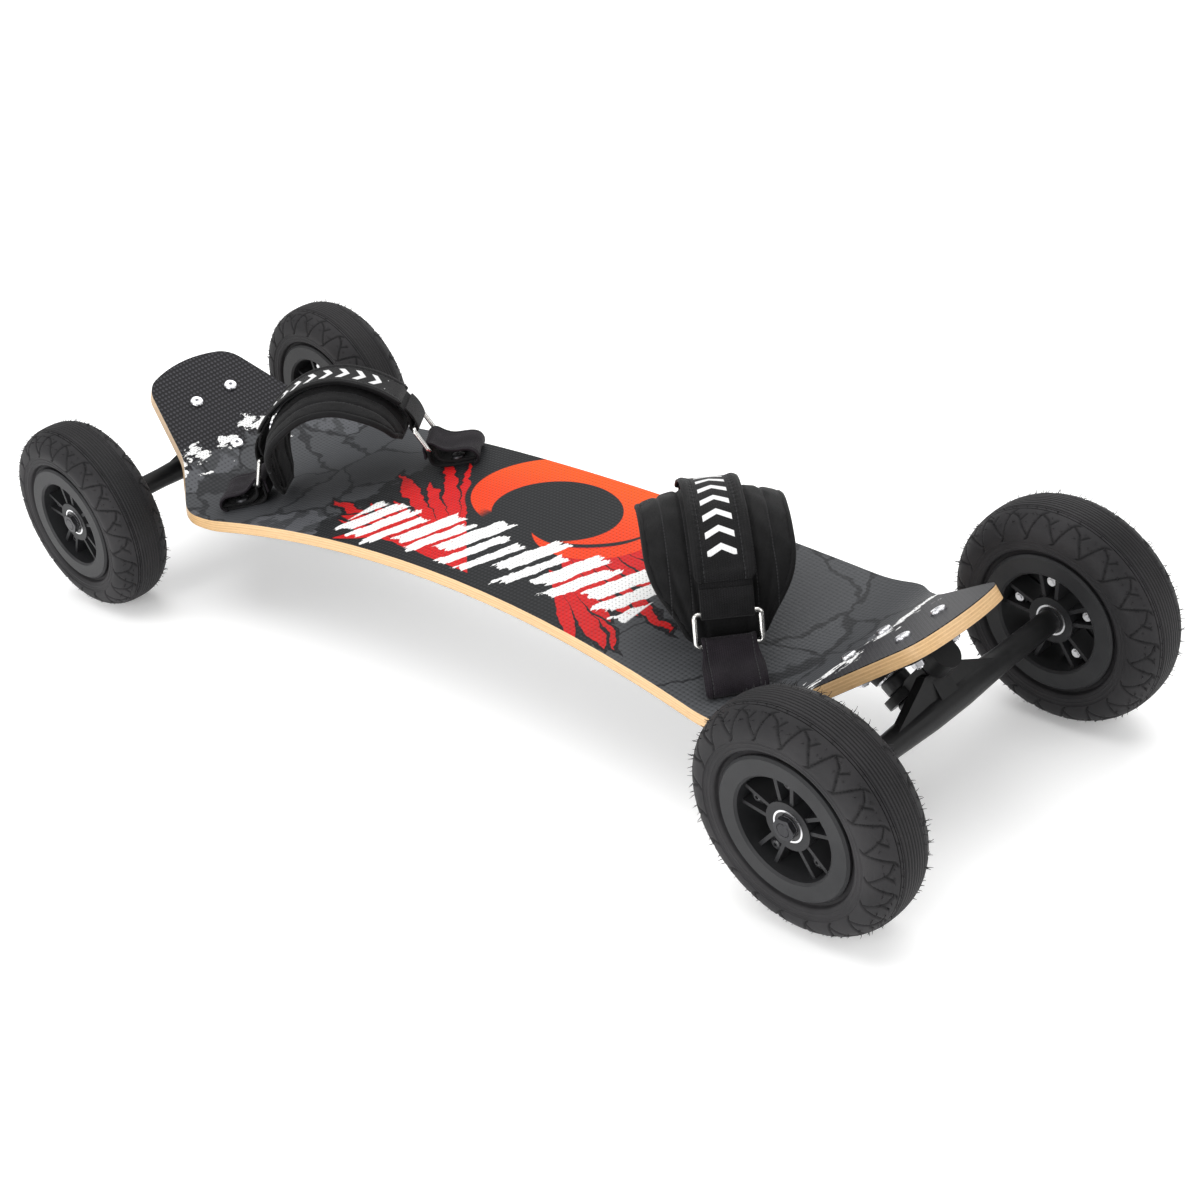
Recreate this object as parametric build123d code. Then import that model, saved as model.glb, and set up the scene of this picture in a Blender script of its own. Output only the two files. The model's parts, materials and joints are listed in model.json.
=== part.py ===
"""All-terrain skateboard (mountainboard) on pneumatic wheels, in millimetres.

Frame: +X along the board towards its front end, +Y to the left, +Z up. The origin lies on the ground
under the middle of the board. A bent laminated deck carries a spring-steered truck under each raised
tip. Each truck has a cast baseplate, a kingpin with two bushings, and a hanger that leans about the
steering axis. Each wheel is a two-piece nylon hub with a tyre, an inner tube and two ball bearings.
Two padded foot straps with D-rings are bolted to the deck.
"""

from build123d import *
import math
import os

# ---------------------------------------------------------------- overall sizes
WHEELBASE = 972.0
TRACK = 336.0
TYRE_RADIUS = 100.0
TYRE_WIDTH = 62.0

# ---------------------------------------------------------------- deck
DECK_THICKNESS = 12.0
GRIP_THICKNESS = 0.8
TIP_ANGLE = 32.0
DECK_MIDDLE_ABOVE_AXLE = 35.7
CAMBER_RADIUS = 2045.0
BEND_RADIUS = 120.0
WAIST_HALF_WIDTH = 105.5
SHOULDER_HALF_WIDTH = 126.0
NECK_HALF_WIDTH = 82.0
TIP_HALF_WIDTH = 54.0
SHOULDER_BEHIND_AXLE = 116.0
NECK_BEHIND_AXLE = 62.0
TIP_CORNER_AHEAD_OF_AXLE = 20.0
DECK_END_AHEAD_OF_AXLE = 31.0
SHOULDER_ROUND = 34.0
NECK_ROUND = 45.0
TIP_ROUND = 27.0

# ---------------------------------------------------------------- truck, in its own frame
# u runs outwards along the raised tip, w is up from the deck's underside.
AXLE_AHEAD_OF_BOLTS = 11.3
AXLE_BELOW_DECK = 53.2
BOLT_SPACING_LONG = 68.0
BOLT_SPACING_WIDE = 45.0
DECK_BOLT_RADIUS = 3.0
DECK_BOLT_HEAD_RADIUS = 7.0
DECK_BOLT_HEAD_HEIGHT = 3.2
DECK_NUT_RADIUS = 5.8
DECK_NUT_HEIGHT = 5.5
BASEPLATE_THICKNESS = 7.0
BASEPLATE_MARGIN = 11.0
BASEPLATE_CORNER = 9.0
PIVOT_AHEAD = 31.0
PIVOT_BELOW_DECK = 18.5
SEAT_BEHIND = 22.0
SEAT_BELOW_DECK = 35.0
PIVOT_NOSE_RADIUS = 6.0
PIVOT_NOSE_LENGTH = 10.0
PIVOT_CUP_WALL = 2.5
PIVOT_CUP_DEPTH = 5.0
PIVOT_BLOCK_RADIUS = 13.0
KINGPIN_RADIUS = 5.0
KINGPIN_HEAD_RADIUS = 8.5
KINGPIN_HEAD_HEIGHT = 5.0
BUSHING_RADIUS = 12.5
BUSHING_HEIGHT = 13.0
SEAT_RING_RADIUS = 19.0
SEAT_RING_THICKNESS = 8.0
SEAT_HOLE_RADIUS = 9.5
CUP_WASHER_RADIUS = 13.0
CUP_WASHER_THICKNESS = 1.5
KINGPIN_NUT_HEIGHT = 8.0
HANGER_TUBE_RADIUS = 10.5
HANGER_MIDDLE_RADIUS = 13.0
HANGER_WEB_THICKNESS = 10.0
HANGER_WEB_AHEAD = 8.0
HANGER_WEB_FOOT_HALF = 79.0
HANGER_WEB_TOP_HALF = 22.0

# ---------------------------------------------------------------- wheel and bearings
AXLE_RADIUS = 6.0
BEARING_RADIUS = 14.0
BEARING_WIDTH = 8.0
RACE_WALL = 2.0
BALL_RADIUS = 1.9
BALLS = 8
SEAL_THICKNESS = 0.6
HUB_HALF_WIDTH = 29.7
HUB_BOSS_HALF_WIDTH = 22.6
HUB_BOSS_RADIUS = 21.0
HUB_BORE_RADIUS = 11.0
RIM_BORE_RADIUS = 45.0
BEAD_RADIUS = 50.0
RIM_FLANGE_RADIUS = 62.5
RIM_FLANGE_THICKNESS = 5.0
SPOKE_PAIRS = 5
SPOKE_THICKNESS = 3.3
SPOKE_GAP_HALF = 5.6
SPOKE_FLARE = 8.0
SHIELD_RECESS = 0.5
SPOKE_FRONT = 21.3
SPOKE_BACK = 1.5
HUB_BOLT_SEAT = 15.0
HUB_BOLT_CIRCLE_RADIUS = 34.5
HUB_BOLT_RADIUS = 2.5
HUB_BOLT_BOSS_RADIUS = 7.0
HUB_BOLT_HEAD_RADIUS = 4.4
HUB_NUT_RADIUS = 4.6
HUB_NUT_HEIGHT = 3.6
TYRE_WALL = 4.5
TUBE_WALL = 1.5
TUBE_CLEARANCE = 2.0
VALVE_RADIUS = 3.6
VALVE_HOLE_CLEARANCE = 0.15
VALVE_TIP_RADIUS = 33.0
WASHER_THICKNESS = 1.0
WASHER_RADIUS = 9.0
AXLE_NUT_HEIGHT = 4.5
AXLE_NUT_RADIUS = 10.4
AXLE_STICK_OUT = 0.3

# ---------------------------------------------------------------- foot straps
# t runs across the foot along the arch, g along the foot, h up from the deck.
STRAP_X = 247.6
STRAP_Y = 0.8
STRAP_ANGLE = 41.0
ARCH_HALF_SPAN = 83.0
ARCH_HEIGHT = 107.0
ARCH_SHAPE = ((1.0, 0.424), (0.878, 0.627), (0.693, 0.788), (0.462, 0.907), (0.231, 0.979), (0.0, 1.0))
STRAP_WIDTH = 46.0
STRAP_THICKNESS = 3.0
PAD_THICKNESS = 11.0
PAD_GAP = 0.6
PAD_SHAPE = ((0.889, 0.068), (0.896, 0.339), (0.831, 0.61), (0.67, 0.784), (0.45, 0.901), (0.231, 0.975), (0.0, 0.997))
PAD_EDGE_SCALE_T = 0.95
PAD_EDGE_SCALE_H = 0.89
PAD_HALF_WIDTH = 61.0
PAD_FOOT_HALF_WIDTH = 30.0
PAD_FLARE_START = 14.0
PAD_FLARE_END = 88.0
PAD_SHORT_END_HEIGHT = 40.0
RING_WIRE_RADIUS = 2.3
RING_HALF_WIDTH = 27.3
RING_CORNER = 3.6
RING_LENGTH = 27.0
ANCHOR_NECK_WIDTH = 44.0
ANCHOR_WIDTH = 52.0
ANCHOR_THICKNESS = 7.0
ANCHOR_BOLT_G = 15.0
ANCHOR_BEYOND_BOLT = 20.0
RING_LOWER_T = 90.0
ANCHOR_BOLT_T = 114.0
ANCHOR_BEND_BEFORE_BOLT = 15.0
ANCHOR_CORNER = 7.0

# ---------------------------------------------------------------- clearances
TOUCH = 0.05
RUNNING = 0.06
BOLT_CLEARANCE = 0.3
LOOP_CLEARANCE = 0.3
PIVOT_CLEARANCE = 0.1

BASE = (Align.CENTER, Align.CENTER, Align.MIN)
TOP = (Align.CENTER, Align.CENTER, Align.MAX)
RIB = (Align.MIN, Align.MIN, Align.CENTER)

os.makedirs("parts", exist_ok=True)


def save(shape, name):
    """Write one named sub-part made of one solid."""
    export_step(shape.solid(), f"parts/{name}.step")


def save_all(shapes, name):
    """Write one named sub-part made of several separate solids."""
    export_step(Compound(children=[shape.solid() for shape in shapes]), f"parts/{name}.step")


def tube_along_y(outer, inner, low, high):
    """A round tube on the Y axis."""
    ring = make_face(Polyline((inner, low), (outer, low), (outer, high), (inner, high), close=True))
    return revolve(ring, Axis.Y)


def hex_nut(radius, height, bore):
    """A hexagon nut standing on the XY plane."""
    body = extrude(RegularPolygon(radius, 6), height)
    top = Cylinder(radius * 0.96, height, align=BASE)
    hole = Cylinder(bore, 3 * height)
    return (body & chamfer(top.edges(), height * 0.12)) - hole


def button_bolt(head_radius, head_height, radius, length, socket):
    """A domed socket bolt: the head stands on the XY plane and the shank hangs below it."""
    head = Cylinder(head_radius, head_height, align=BASE)
    head = fillet(head.edges().group_by(Axis.Z)[-1], head_height * 0.75)
    key = extrude(RegularPolygon(socket, 6), head_height)
    shank = Cylinder(radius, length, align=TOP)
    return (head - Pos(0, 0, head_height * 0.35) * key) + shank


# ================================================================ places worked out from the sizes
AXLE_X = WHEELBASE / 2
WHEEL_Y = TRACK / 2
TIP = math.radians(TIP_ANGLE)
TIP_OUT = Vector(math.cos(TIP), 0, math.sin(TIP))
TIP_UP = Vector(-math.sin(TIP), 0, math.cos(TIP))
AXLE_CENTRE = Vector(AXLE_X, 0, TYRE_RADIUS)
TRUCK_ORIGIN = AXLE_CENTRE - TIP_OUT * AXLE_AHEAD_OF_BOLTS + TIP_UP * AXLE_BELOW_DECK
FRONT_TRUCK = Plane(origin=TRUCK_ORIGIN, x_dir=TIP_OUT, z_dir=TIP_UP).location
ENDS = {"front": FRONT_TRUCK, "rear": Rotation(0, 0, 180) * FRONT_TRUCK}
DECK_STACK = DECK_THICKNESS + GRIP_THICKNESS
BOSS_FACE = SEAT_RING_THICKNESS / 2 + BUSHING_HEIGHT + CUP_WASHER_THICKNESS + 2 * TOUCH
BOSS_RADIUS = CUP_WASHER_RADIUS + 2
KINGPIN_SHOULDER = BOSS_FACE + 10.0
RACE_SHOULDER = AXLE_RADIUS + RACE_WALL + 0.2

# The steering axis joins the bushing seat to the pivot. In the steering frame x runs along it and z is
# the kingpin's direction, pointing up.
SEAT = Vector(-SEAT_BEHIND, 0, -SEAT_BELOW_DECK)
PIVOT = Vector(PIVOT_AHEAD, 0, -PIVOT_BELOW_DECK)
PIVOT_OUT = (PIVOT - SEAT).length
STEER_X = (PIVOT - SEAT).normalized()
STEER_Z = Vector(-STEER_X.Z, 0, STEER_X.X)
STEER_PLANE = Plane(origin=SEAT, x_dir=STEER_X, z_dir=STEER_Z)
STEER = STEER_PLANE.location
AXLE_IN_TRUCK = Vector(AXLE_AHEAD_OF_BOLTS, 0, -AXLE_BELOW_DECK)
AXLE_IN_STEER = STEER_PLANE.to_local_coords(AXLE_IN_TRUCK)

# The deck's top surface is a wide arch, a reverse bend and a flat tip, all tangent to each other.
TIP_POINT = TRUCK_ORIGIN + TIP_UP * DECK_THICKNESS
ARCH_CENTRE = Vector(0, 0, TYRE_RADIUS + DECK_MIDDLE_ABOVE_AXLE - CAMBER_RADIUS)
BEND_LINE = TIP_POINT + TIP_UP * BEND_RADIUS - ARCH_CENTRE
BEND_ALONG = BEND_LINE.dot(TIP_OUT)
BEND_BACK = BEND_ALONG - math.sqrt(BEND_ALONG**2 - BEND_LINE.length**2 + (CAMBER_RADIUS + BEND_RADIUS) ** 2)
BEND_CENTRE = ARCH_CENTRE + BEND_LINE - TIP_OUT * BEND_BACK
BEND_START = ARCH_CENTRE + (BEND_CENTRE - ARCH_CENTRE).normalized() * CAMBER_RADIUS
BEND_END = BEND_CENTRE - TIP_UP * BEND_RADIUS


def deck_normal(x):
    """The laminate's top surface point on the centre line at x, and the surface's upward normal."""
    side = -1 if x < 0 else 1
    x = abs(x)
    if x <= BEND_START.X:
        normal = (Vector(x, 0, ARCH_CENTRE.Z + math.sqrt(CAMBER_RADIUS**2 - x**2)) - ARCH_CENTRE).normalized()
        point = ARCH_CENTRE + normal * CAMBER_RADIUS
    elif x <= BEND_END.X:
        drop = math.sqrt(BEND_RADIUS**2 - (x - BEND_CENTRE.X) ** 2)
        point = Vector(x, 0, BEND_CENTRE.Z - drop)
        normal = (BEND_CENTRE - point).normalized()
    else:
        point = BEND_END + TIP_OUT * ((x - BEND_END.X) / TIP_OUT.X)
        normal = TIP_UP
    return Vector(side * point.X, 0, point.Z), Vector(side * normal.X, 0, normal.Z)


def deck_plane(x, y, forward):
    """A plane on top of the grip sheet at (x, y): z along the surface normal, x near the given heading."""
    point, normal = deck_normal(x)
    heading = (forward - normal * forward.dot(normal)).normalized()
    return Plane(origin=point + Vector(0, y, 0) + normal * GRIP_THICKNESS, x_dir=heading, z_dir=normal)


# ================================================================ deck
def deck_outline():
    """The plan outline, wide at the feet and narrower at the waist and tips."""
    shoulder = (AXLE_X - SHOULDER_BEHIND_AXLE, SHOULDER_HALF_WIDTH)
    neck = (AXLE_X - NECK_BEHIND_AXLE, NECK_HALF_WIDTH)
    corner = (AXLE_X + TIP_CORNER_AHEAD_OF_AXLE, TIP_HALF_WIDTH)
    end = (AXLE_X + DECK_END_AHEAD_OF_AXLE, 0)

    def at(point, sx, sy):
        return (sx * point[0], sy * point[1])

    edges = []
    for sy in (1, -1):
        waist = (0, sy * WAIST_HALF_WIDTH)
        edges.append(ThreePointArc(at(shoulder, -1, sy), waist, at(shoulder, 1, sy)))
    for sx in (1, -1):
        edges.append(ThreePointArc(at(corner, sx, 1), at(end, sx, 1), at(corner, sx, -1)))
        for sy in (1, -1):
            edges.append(Polyline(at(shoulder, sx, sy), at(neck, sx, sy), at(corner, sx, sy)))
    outline = make_face([edge for group in edges for edge in group.edges()])
    for place, radius in ((shoulder, SHOULDER_ROUND), (neck, NECK_ROUND), (corner, TIP_ROUND)):
        near = [
            v for v in outline.vertices() if abs(abs(v.X) - place[0]) < 1 and abs(abs(v.Y) - place[1]) < 1
        ]
        outline = fillet(near, radius)
    return outline


def deck_shell():
    """The laminate's bent top surface, trimmed to the outline, as one shell."""
    bend_middle = BEND_CENTRE + ((BEND_START + BEND_END) * 0.5 - BEND_CENTRE).normalized() * BEND_RADIUS
    tip_end = BEND_END + TIP_OUT * ((AXLE_X + DECK_END_AHEAD_OF_AXLE + DECK_STACK - BEND_END.X) / TIP_OUT.X)
    lines = [ThreePointArc(mirrored(BEND_START), (0, 0, ARCH_CENTRE.Z + CAMBER_RADIUS), BEND_START)]
    for side in (lambda p: p, mirrored):
        lines.append(ThreePointArc(side(BEND_START), side(bend_middle), side(BEND_END)))
        lines.append(Line(side(BEND_END), side(tip_end)))
    wide = 1.3 * SHOULDER_HALF_WIDTH
    outline = extrude(deck_outline(), 6 * TYRE_RADIUS)
    sheets = [Face.extrude(Pos(0, -wide, 0) * line, Vector(0, 2 * wide, 0)) for line in lines]
    return Shell([(sheet & outline).face() for sheet in sheets])


def mirrored(point):
    """The same point at the other end of the board."""
    return Vector(-point.X, point.Y, point.Z)


def truck_bolt_points():
    """The four deck bolt places of one truck, in the truck frame."""
    return [(su * BOLT_SPACING_LONG / 2, sy * BOLT_SPACING_WIDE / 2) for su in (1, -1) for sy in (1, -1)]


def strap_bolt_places():
    """The location of each foot strap bolt on the grip sheet."""
    planes = []
    for end in (1, -1):
        for side in (1, -1):
            anchor = anchor_plane(end, side)
            planes += [anchor.location * Pos(0, g, 0) for g in (ANCHOR_BOLT_G, -ANCHOR_BOLT_G)]
    return planes


def deck_blanks():
    """The laminate and the grip sheet on it, before drilling."""
    shell = deck_shell()
    sheets = [Solid.thicken(shell, side * DECK_THICKNESS) for side in (1, -1)]
    low = min(range(2), key=lambda i: sheets[i].bounding_box().max.Z)
    return sheets[low], Solid.thicken(shell, GRIP_THICKNESS * (-1 if low == 0 else 1))


def build_deck():
    """The laminate and the grip sheet with every bolt hole."""
    deck, grip = deck_blanks()
    hole = Cylinder(DECK_BOLT_RADIUS + BOLT_CLEARANCE, 6 * DECK_STACK)
    holes = [ENDS[end] * Pos(u, y, 0) * hole for end in ENDS for u, y in truck_bolt_points()]
    holes += [place * hole for place in strap_bolt_places()]
    cutter = Compound(children=holes)
    return deck - cutter, grip - cutter


# ================================================================ truck
def baseplate():
    """The cast plate with the kingpin boss and the pivot block, in the truck frame."""
    long = BOLT_SPACING_LONG + 2 * BASEPLATE_MARGIN
    wide = BOLT_SPACING_WIDE + 2 * BASEPLATE_MARGIN
    plate = Pos(0, 0, -BASEPLATE_THICKNESS) * extrude(RectangleRounded(long, wide, BASEPLATE_CORNER), BASEPLATE_THICKNESS)
    under = Pos(0, 0, -TYRE_RADIUS / 2) * Box(2 * long, 2 * wide, TYRE_RADIUS)
    boss = STEER * Pos(0, 0, BOSS_FACE) * Cone(BOSS_RADIUS, BOSS_RADIUS + 5, SEAT_BELOW_DECK, align=BASE)
    block_back = STEER * Pos(PIVOT_OUT - PIVOT_CUP_DEPTH, 0, 0) * Rotation(0, 90, 0)
    block = block_back * Cylinder(PIVOT_BLOCK_RADIUS, PIVOT_CUP_DEPTH + PIVOT_BLOCK_RADIUS, align=BASE)
    block += block_back * Pos(-PIVOT_BLOCK_RADIUS, 0, (PIVOT_CUP_DEPTH + PIVOT_BLOCK_RADIUS) / 2) * Box(
        2 * PIVOT_BLOCK_RADIUS, 2 * PIVOT_BLOCK_RADIUS, PIVOT_CUP_DEPTH + PIVOT_BLOCK_RADIUS
    )
    body = plate + ((boss + block) & under)
    body -= STEER * Pos(0, 0, KINGPIN_SHOULDER) * Cylinder(KINGPIN_HEAD_RADIUS + BOLT_CLEARANCE, SEAT_BELOW_DECK, align=BASE)
    body -= STEER * Cylinder(KINGPIN_RADIUS + TOUCH, 4 * SEAT_BELOW_DECK)
    body -= block_back * pivot_plug(PIVOT_NOSE_RADIUS + PIVOT_CLEARANCE + PIVOT_CUP_WALL + TOUCH)
    hole = Cylinder(DECK_BOLT_RADIUS + BOLT_CLEARANCE, 4 * BASEPLATE_THICKNESS)
    nut_room = Pos(0, 0, -BASEPLATE_THICKNESS) * Cylinder(DECK_NUT_RADIUS + 1, SEAT_BELOW_DECK, align=TOP)
    for u, y in truck_bolt_points():
        body -= Pos(u, y, 0) * (hole + nut_room)
    return body


def pivot_plug(radius):
    """A round-nosed plug along +Z: the straight part starts at the XY plane."""
    straight = Cylinder(radius, PIVOT_CUP_DEPTH, align=BASE)
    return straight + Pos(0, 0, PIVOT_CUP_DEPTH) * Sphere(radius, arc_size1=0, align=BASE)


def pivot_cup():
    """The plastic cup in the pivot block, in the truck frame."""
    inner = PIVOT_NOSE_RADIUS + PIVOT_CLEARANCE
    cup = pivot_plug(inner + PIVOT_CUP_WALL) - pivot_plug(inner)
    return STEER * Pos(PIVOT_OUT - PIVOT_CUP_DEPTH, 0, 0) * Rotation(0, 90, 0) * cup


def bushing(side):
    """A urethane bushing above (+1) or below (-1) the hanger's ring, in the truck frame."""
    ring = Cylinder(BUSHING_RADIUS, BUSHING_HEIGHT - TOUCH)
    ring = fillet(ring.edges().filter_by(GeomType.CIRCLE), 2.5)
    ring -= Cylinder(KINGPIN_RADIUS + BOLT_CLEARANCE, 2 * BUSHING_HEIGHT)
    return STEER * Pos(0, 0, side * (SEAT_RING_THICKNESS + BUSHING_HEIGHT + TOUCH) / 2) * ring


def cup_washer(side):
    """The washer outside a bushing, in the truck frame."""
    level = SEAT_RING_THICKNESS / 2 + BUSHING_HEIGHT + TOUCH + CUP_WASHER_THICKNESS / 2
    washer = Cylinder(CUP_WASHER_RADIUS, CUP_WASHER_THICKNESS) - Cylinder(KINGPIN_RADIUS + BOLT_CLEARANCE, 9)
    return STEER * Pos(0, 0, side * level) * washer


def kingpin_end():
    """The level of the lower washer's underside."""
    return -(SEAT_RING_THICKNESS / 2 + BUSHING_HEIGHT + CUP_WASHER_THICKNESS + 2 * TOUCH)


def kingpin():
    """The kingpin bolt with its hexagon head in the plate's pocket, in the truck frame."""
    low = kingpin_end() - KINGPIN_NUT_HEIGHT - 3
    shank = Pos(0, 0, low) * Cylinder(KINGPIN_RADIUS, KINGPIN_SHOULDER - low + TOUCH, align=BASE)
    head = Pos(0, 0, KINGPIN_SHOULDER + TOUCH) * extrude(RegularPolygon(KINGPIN_HEAD_RADIUS, 6), KINGPIN_HEAD_HEIGHT)
    return STEER * (shank + head)


def kingpin_nut():
    """The lock nut under the lower washer, in the truck frame."""
    nut = hex_nut(KINGPIN_HEAD_RADIUS, KINGPIN_NUT_HEIGHT, KINGPIN_RADIUS + TOUCH)
    return STEER * Pos(0, 0, kingpin_end() - KINGPIN_NUT_HEIGHT) * nut


def hanger():
    """The leaning casting: bushing ring, neck with pivot nose, web and axle arms, in the truck frame."""
    half = SEAT_RING_THICKNESS / 2
    ax, az = AXLE_IN_STEER.X, AXLE_IN_STEER.Z
    arm_end = WHEEL_Y - HUB_BOSS_HALF_WIDTH - WASHER_THICKNESS - 2 * TOUCH
    arm = make_face(
        Polyline(
            (0, 0),
            (HANGER_MIDDLE_RADIUS, 0),
            (HANGER_MIDDLE_RADIUS, HANGER_WEB_TOP_HALF),
            (HANGER_TUBE_RADIUS, HANGER_WEB_FOOT_HALF),
            (HANGER_TUBE_RADIUS, arm_end - 1),
            (HANGER_TUBE_RADIUS - 1, arm_end),
            (0, arm_end),
            close=True,
        )
    )
    arm = revolve(arm, Axis.Y)
    arms = Pos(ax, 0, az) * (arm + Rotation(180, 0, 0) * arm)
    neck_end = PIVOT_OUT - PIVOT_NOSE_LENGTH
    side_outline = make_face(
        Polyline(
            (SEAT_RING_RADIUS - 6, -half),
            (SEAT_RING_RADIUS - 6, half),
            (SEAT_RING_RADIUS + 2, half + 2.5),
            (neck_end, half + 2.5),
            (neck_end, -half - 3),
            (ax + HANGER_MIDDLE_RADIUS, az + 2),
            (ax + 4, az - HANGER_MIDDLE_RADIUS + 1),
            (ax - 4, az - HANGER_MIDDLE_RADIUS + 1),
            (ax - HANGER_MIDDLE_RADIUS + 3.5, az + 4),
            (SEAT_RING_RADIUS + 2, -half - 5),
            close=True,
        )
    )
    side_plate = extrude(Plane.XZ * side_outline, 10, both=True)
    up = Vector(neck_end - 5 - ax, 0, -az)
    web_plane = Plane(origin=(ax, 0, az), x_dir=(0, 1, 0), z_dir=up.cross(Vector(0, 1, 0)))
    reach = up.length if web_plane.y_dir.dot(up) > 0 else -up.length
    web_outline = make_face(
        Polyline(
            (-HANGER_WEB_FOOT_HALF, 0),
            (HANGER_WEB_FOOT_HALF, 0),
            (HANGER_WEB_TOP_HALF, reach * 0.88),
            (HANGER_WEB_TOP_HALF - 7, reach),
            (7 - HANGER_WEB_TOP_HALF, reach),
            (-HANGER_WEB_TOP_HALF, reach * 0.88),
            close=True,
        )
    )
    web = extrude(web_plane.offset(-HANGER_WEB_AHEAD) * web_outline, HANGER_WEB_THICKNESS)
    ring = Cylinder(SEAT_RING_RADIUS, SEAT_RING_THICKNESS)
    nose = Pos(neck_end - 1, 0, 0) * Rotation(0, 90, 0) * Cylinder(PIVOT_NOSE_RADIUS, PIVOT_NOSE_LENGTH + 1, align=BASE)
    nose += Pos(PIVOT_OUT, 0, 0) * Sphere(PIVOT_NOSE_RADIUS)
    body = arms + side_plate + web + ring + nose
    body -= Cylinder(SEAT_HOLE_RADIUS, 4 * SEAT_RING_THICKNESS)
    body -= Pos(ax, 0, az) * Rotation(90, 0, 0) * Cylinder(AXLE_RADIUS + TOUCH, 3 * TRACK)
    return STEER * body


# ================================================================ what is clamped on one axle
def axle_end():
    """Where the axle rod ends, outwards from the wheel's middle."""
    return HUB_BOSS_HALF_WIDTH + WASHER_THICKNESS + AXLE_NUT_HEIGHT + AXLE_STICK_OUT + 3 * TOUCH


def on_axle(shape):
    """Copies of a shape, drawn in the wheel frame, at both ends of the axle."""
    return [Pos(0, WHEEL_Y, 0) * shape, Rotation(0, 0, 180) * Pos(0, WHEEL_Y, 0) * shape]


def axle():
    """The axle rod, on the Y axis."""
    rod = Rotation(90, 0, 0) * Cylinder(AXLE_RADIUS, 2 * (WHEEL_Y + axle_end()))
    return chamfer(rod.edges(), 0.8)


def washers():
    """The washer on each side of the wheel."""
    start = HUB_BOSS_HALF_WIDTH + TOUCH
    bore = AXLE_RADIUS + TOUCH
    outer = tube_along_y(WASHER_RADIUS, bore, start, start + WASHER_THICKNESS)
    inner = tube_along_y(WASHER_RADIUS, bore, -start - WASHER_THICKNESS, -start)
    return [outer, inner]


def axle_nut():
    """The lock nut outside the wheel."""
    nut = hex_nut(AXLE_NUT_RADIUS, AXLE_NUT_HEIGHT, AXLE_RADIUS + TOUCH)
    return Pos(0, HUB_BOSS_HALF_WIDTH + WASHER_THICKNESS + 2 * TOUCH, 0) * Rotation(-90, 0, 0) * nut


def axle_spacer():
    """The spacer tube between the two inner races."""
    half = HUB_BOSS_HALF_WIDTH - BEARING_WIDTH - TOUCH
    return tube_along_y(RACE_SHOULDER, AXLE_RADIUS + TOUCH, -half, half)


def inner_races():
    """The inner race of both bearings of one wheel."""
    high = HUB_BOSS_HALF_WIDTH
    low = high - BEARING_WIDTH
    bore = AXLE_RADIUS + TOUCH
    return [tube_along_y(RACE_SHOULDER, bore, low, high), tube_along_y(RACE_SHOULDER, bore, -high, -low)]


# ================================================================ wheel, its axle on Y and +Y outwards
def outer_race():
    """An outer race with its two shields, centred on the origin."""
    half = BEARING_WIDTH / 2
    wall = BEARING_RADIUS - RACE_WALL
    race = tube_along_y(BEARING_RADIUS, wall, -half, half)
    shield_out = half - SHIELD_RECESS
    for low, high in ((shield_out - SEAL_THICKNESS, shield_out), (-shield_out, SEAL_THICKNESS - shield_out)):
        race += tube_along_y(wall + 0.5, RACE_SHOULDER + RUNNING, low, high)
    return race


def balls():
    """The balls of one bearing, centred on the origin."""
    middle = (RACE_SHOULDER + BEARING_RADIUS - RACE_WALL) / 2
    ball = Sphere((BEARING_RADIUS - RACE_WALL - RACE_SHOULDER) / 2 - RUNNING)
    return [Rotation(0, 360 * i / BALLS, 0) * Pos(middle, 0, 0) * ball for i in range(BALLS)]


def wheel_bearings():
    """The turning half of both bearings: outer races and balls."""
    offset = HUB_BOSS_HALF_WIDTH - BEARING_WIDTH / 2
    parts = [outer_race(), *balls()]
    return [Pos(0, side * offset, 0) * part for side in (1, -1) for part in parts]


def spoke_spots():
    """The angle of each spoke pair about the axle."""
    return [90 + 360 * i / SPOKE_PAIRS for i in range(SPOKE_PAIRS)]


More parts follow.
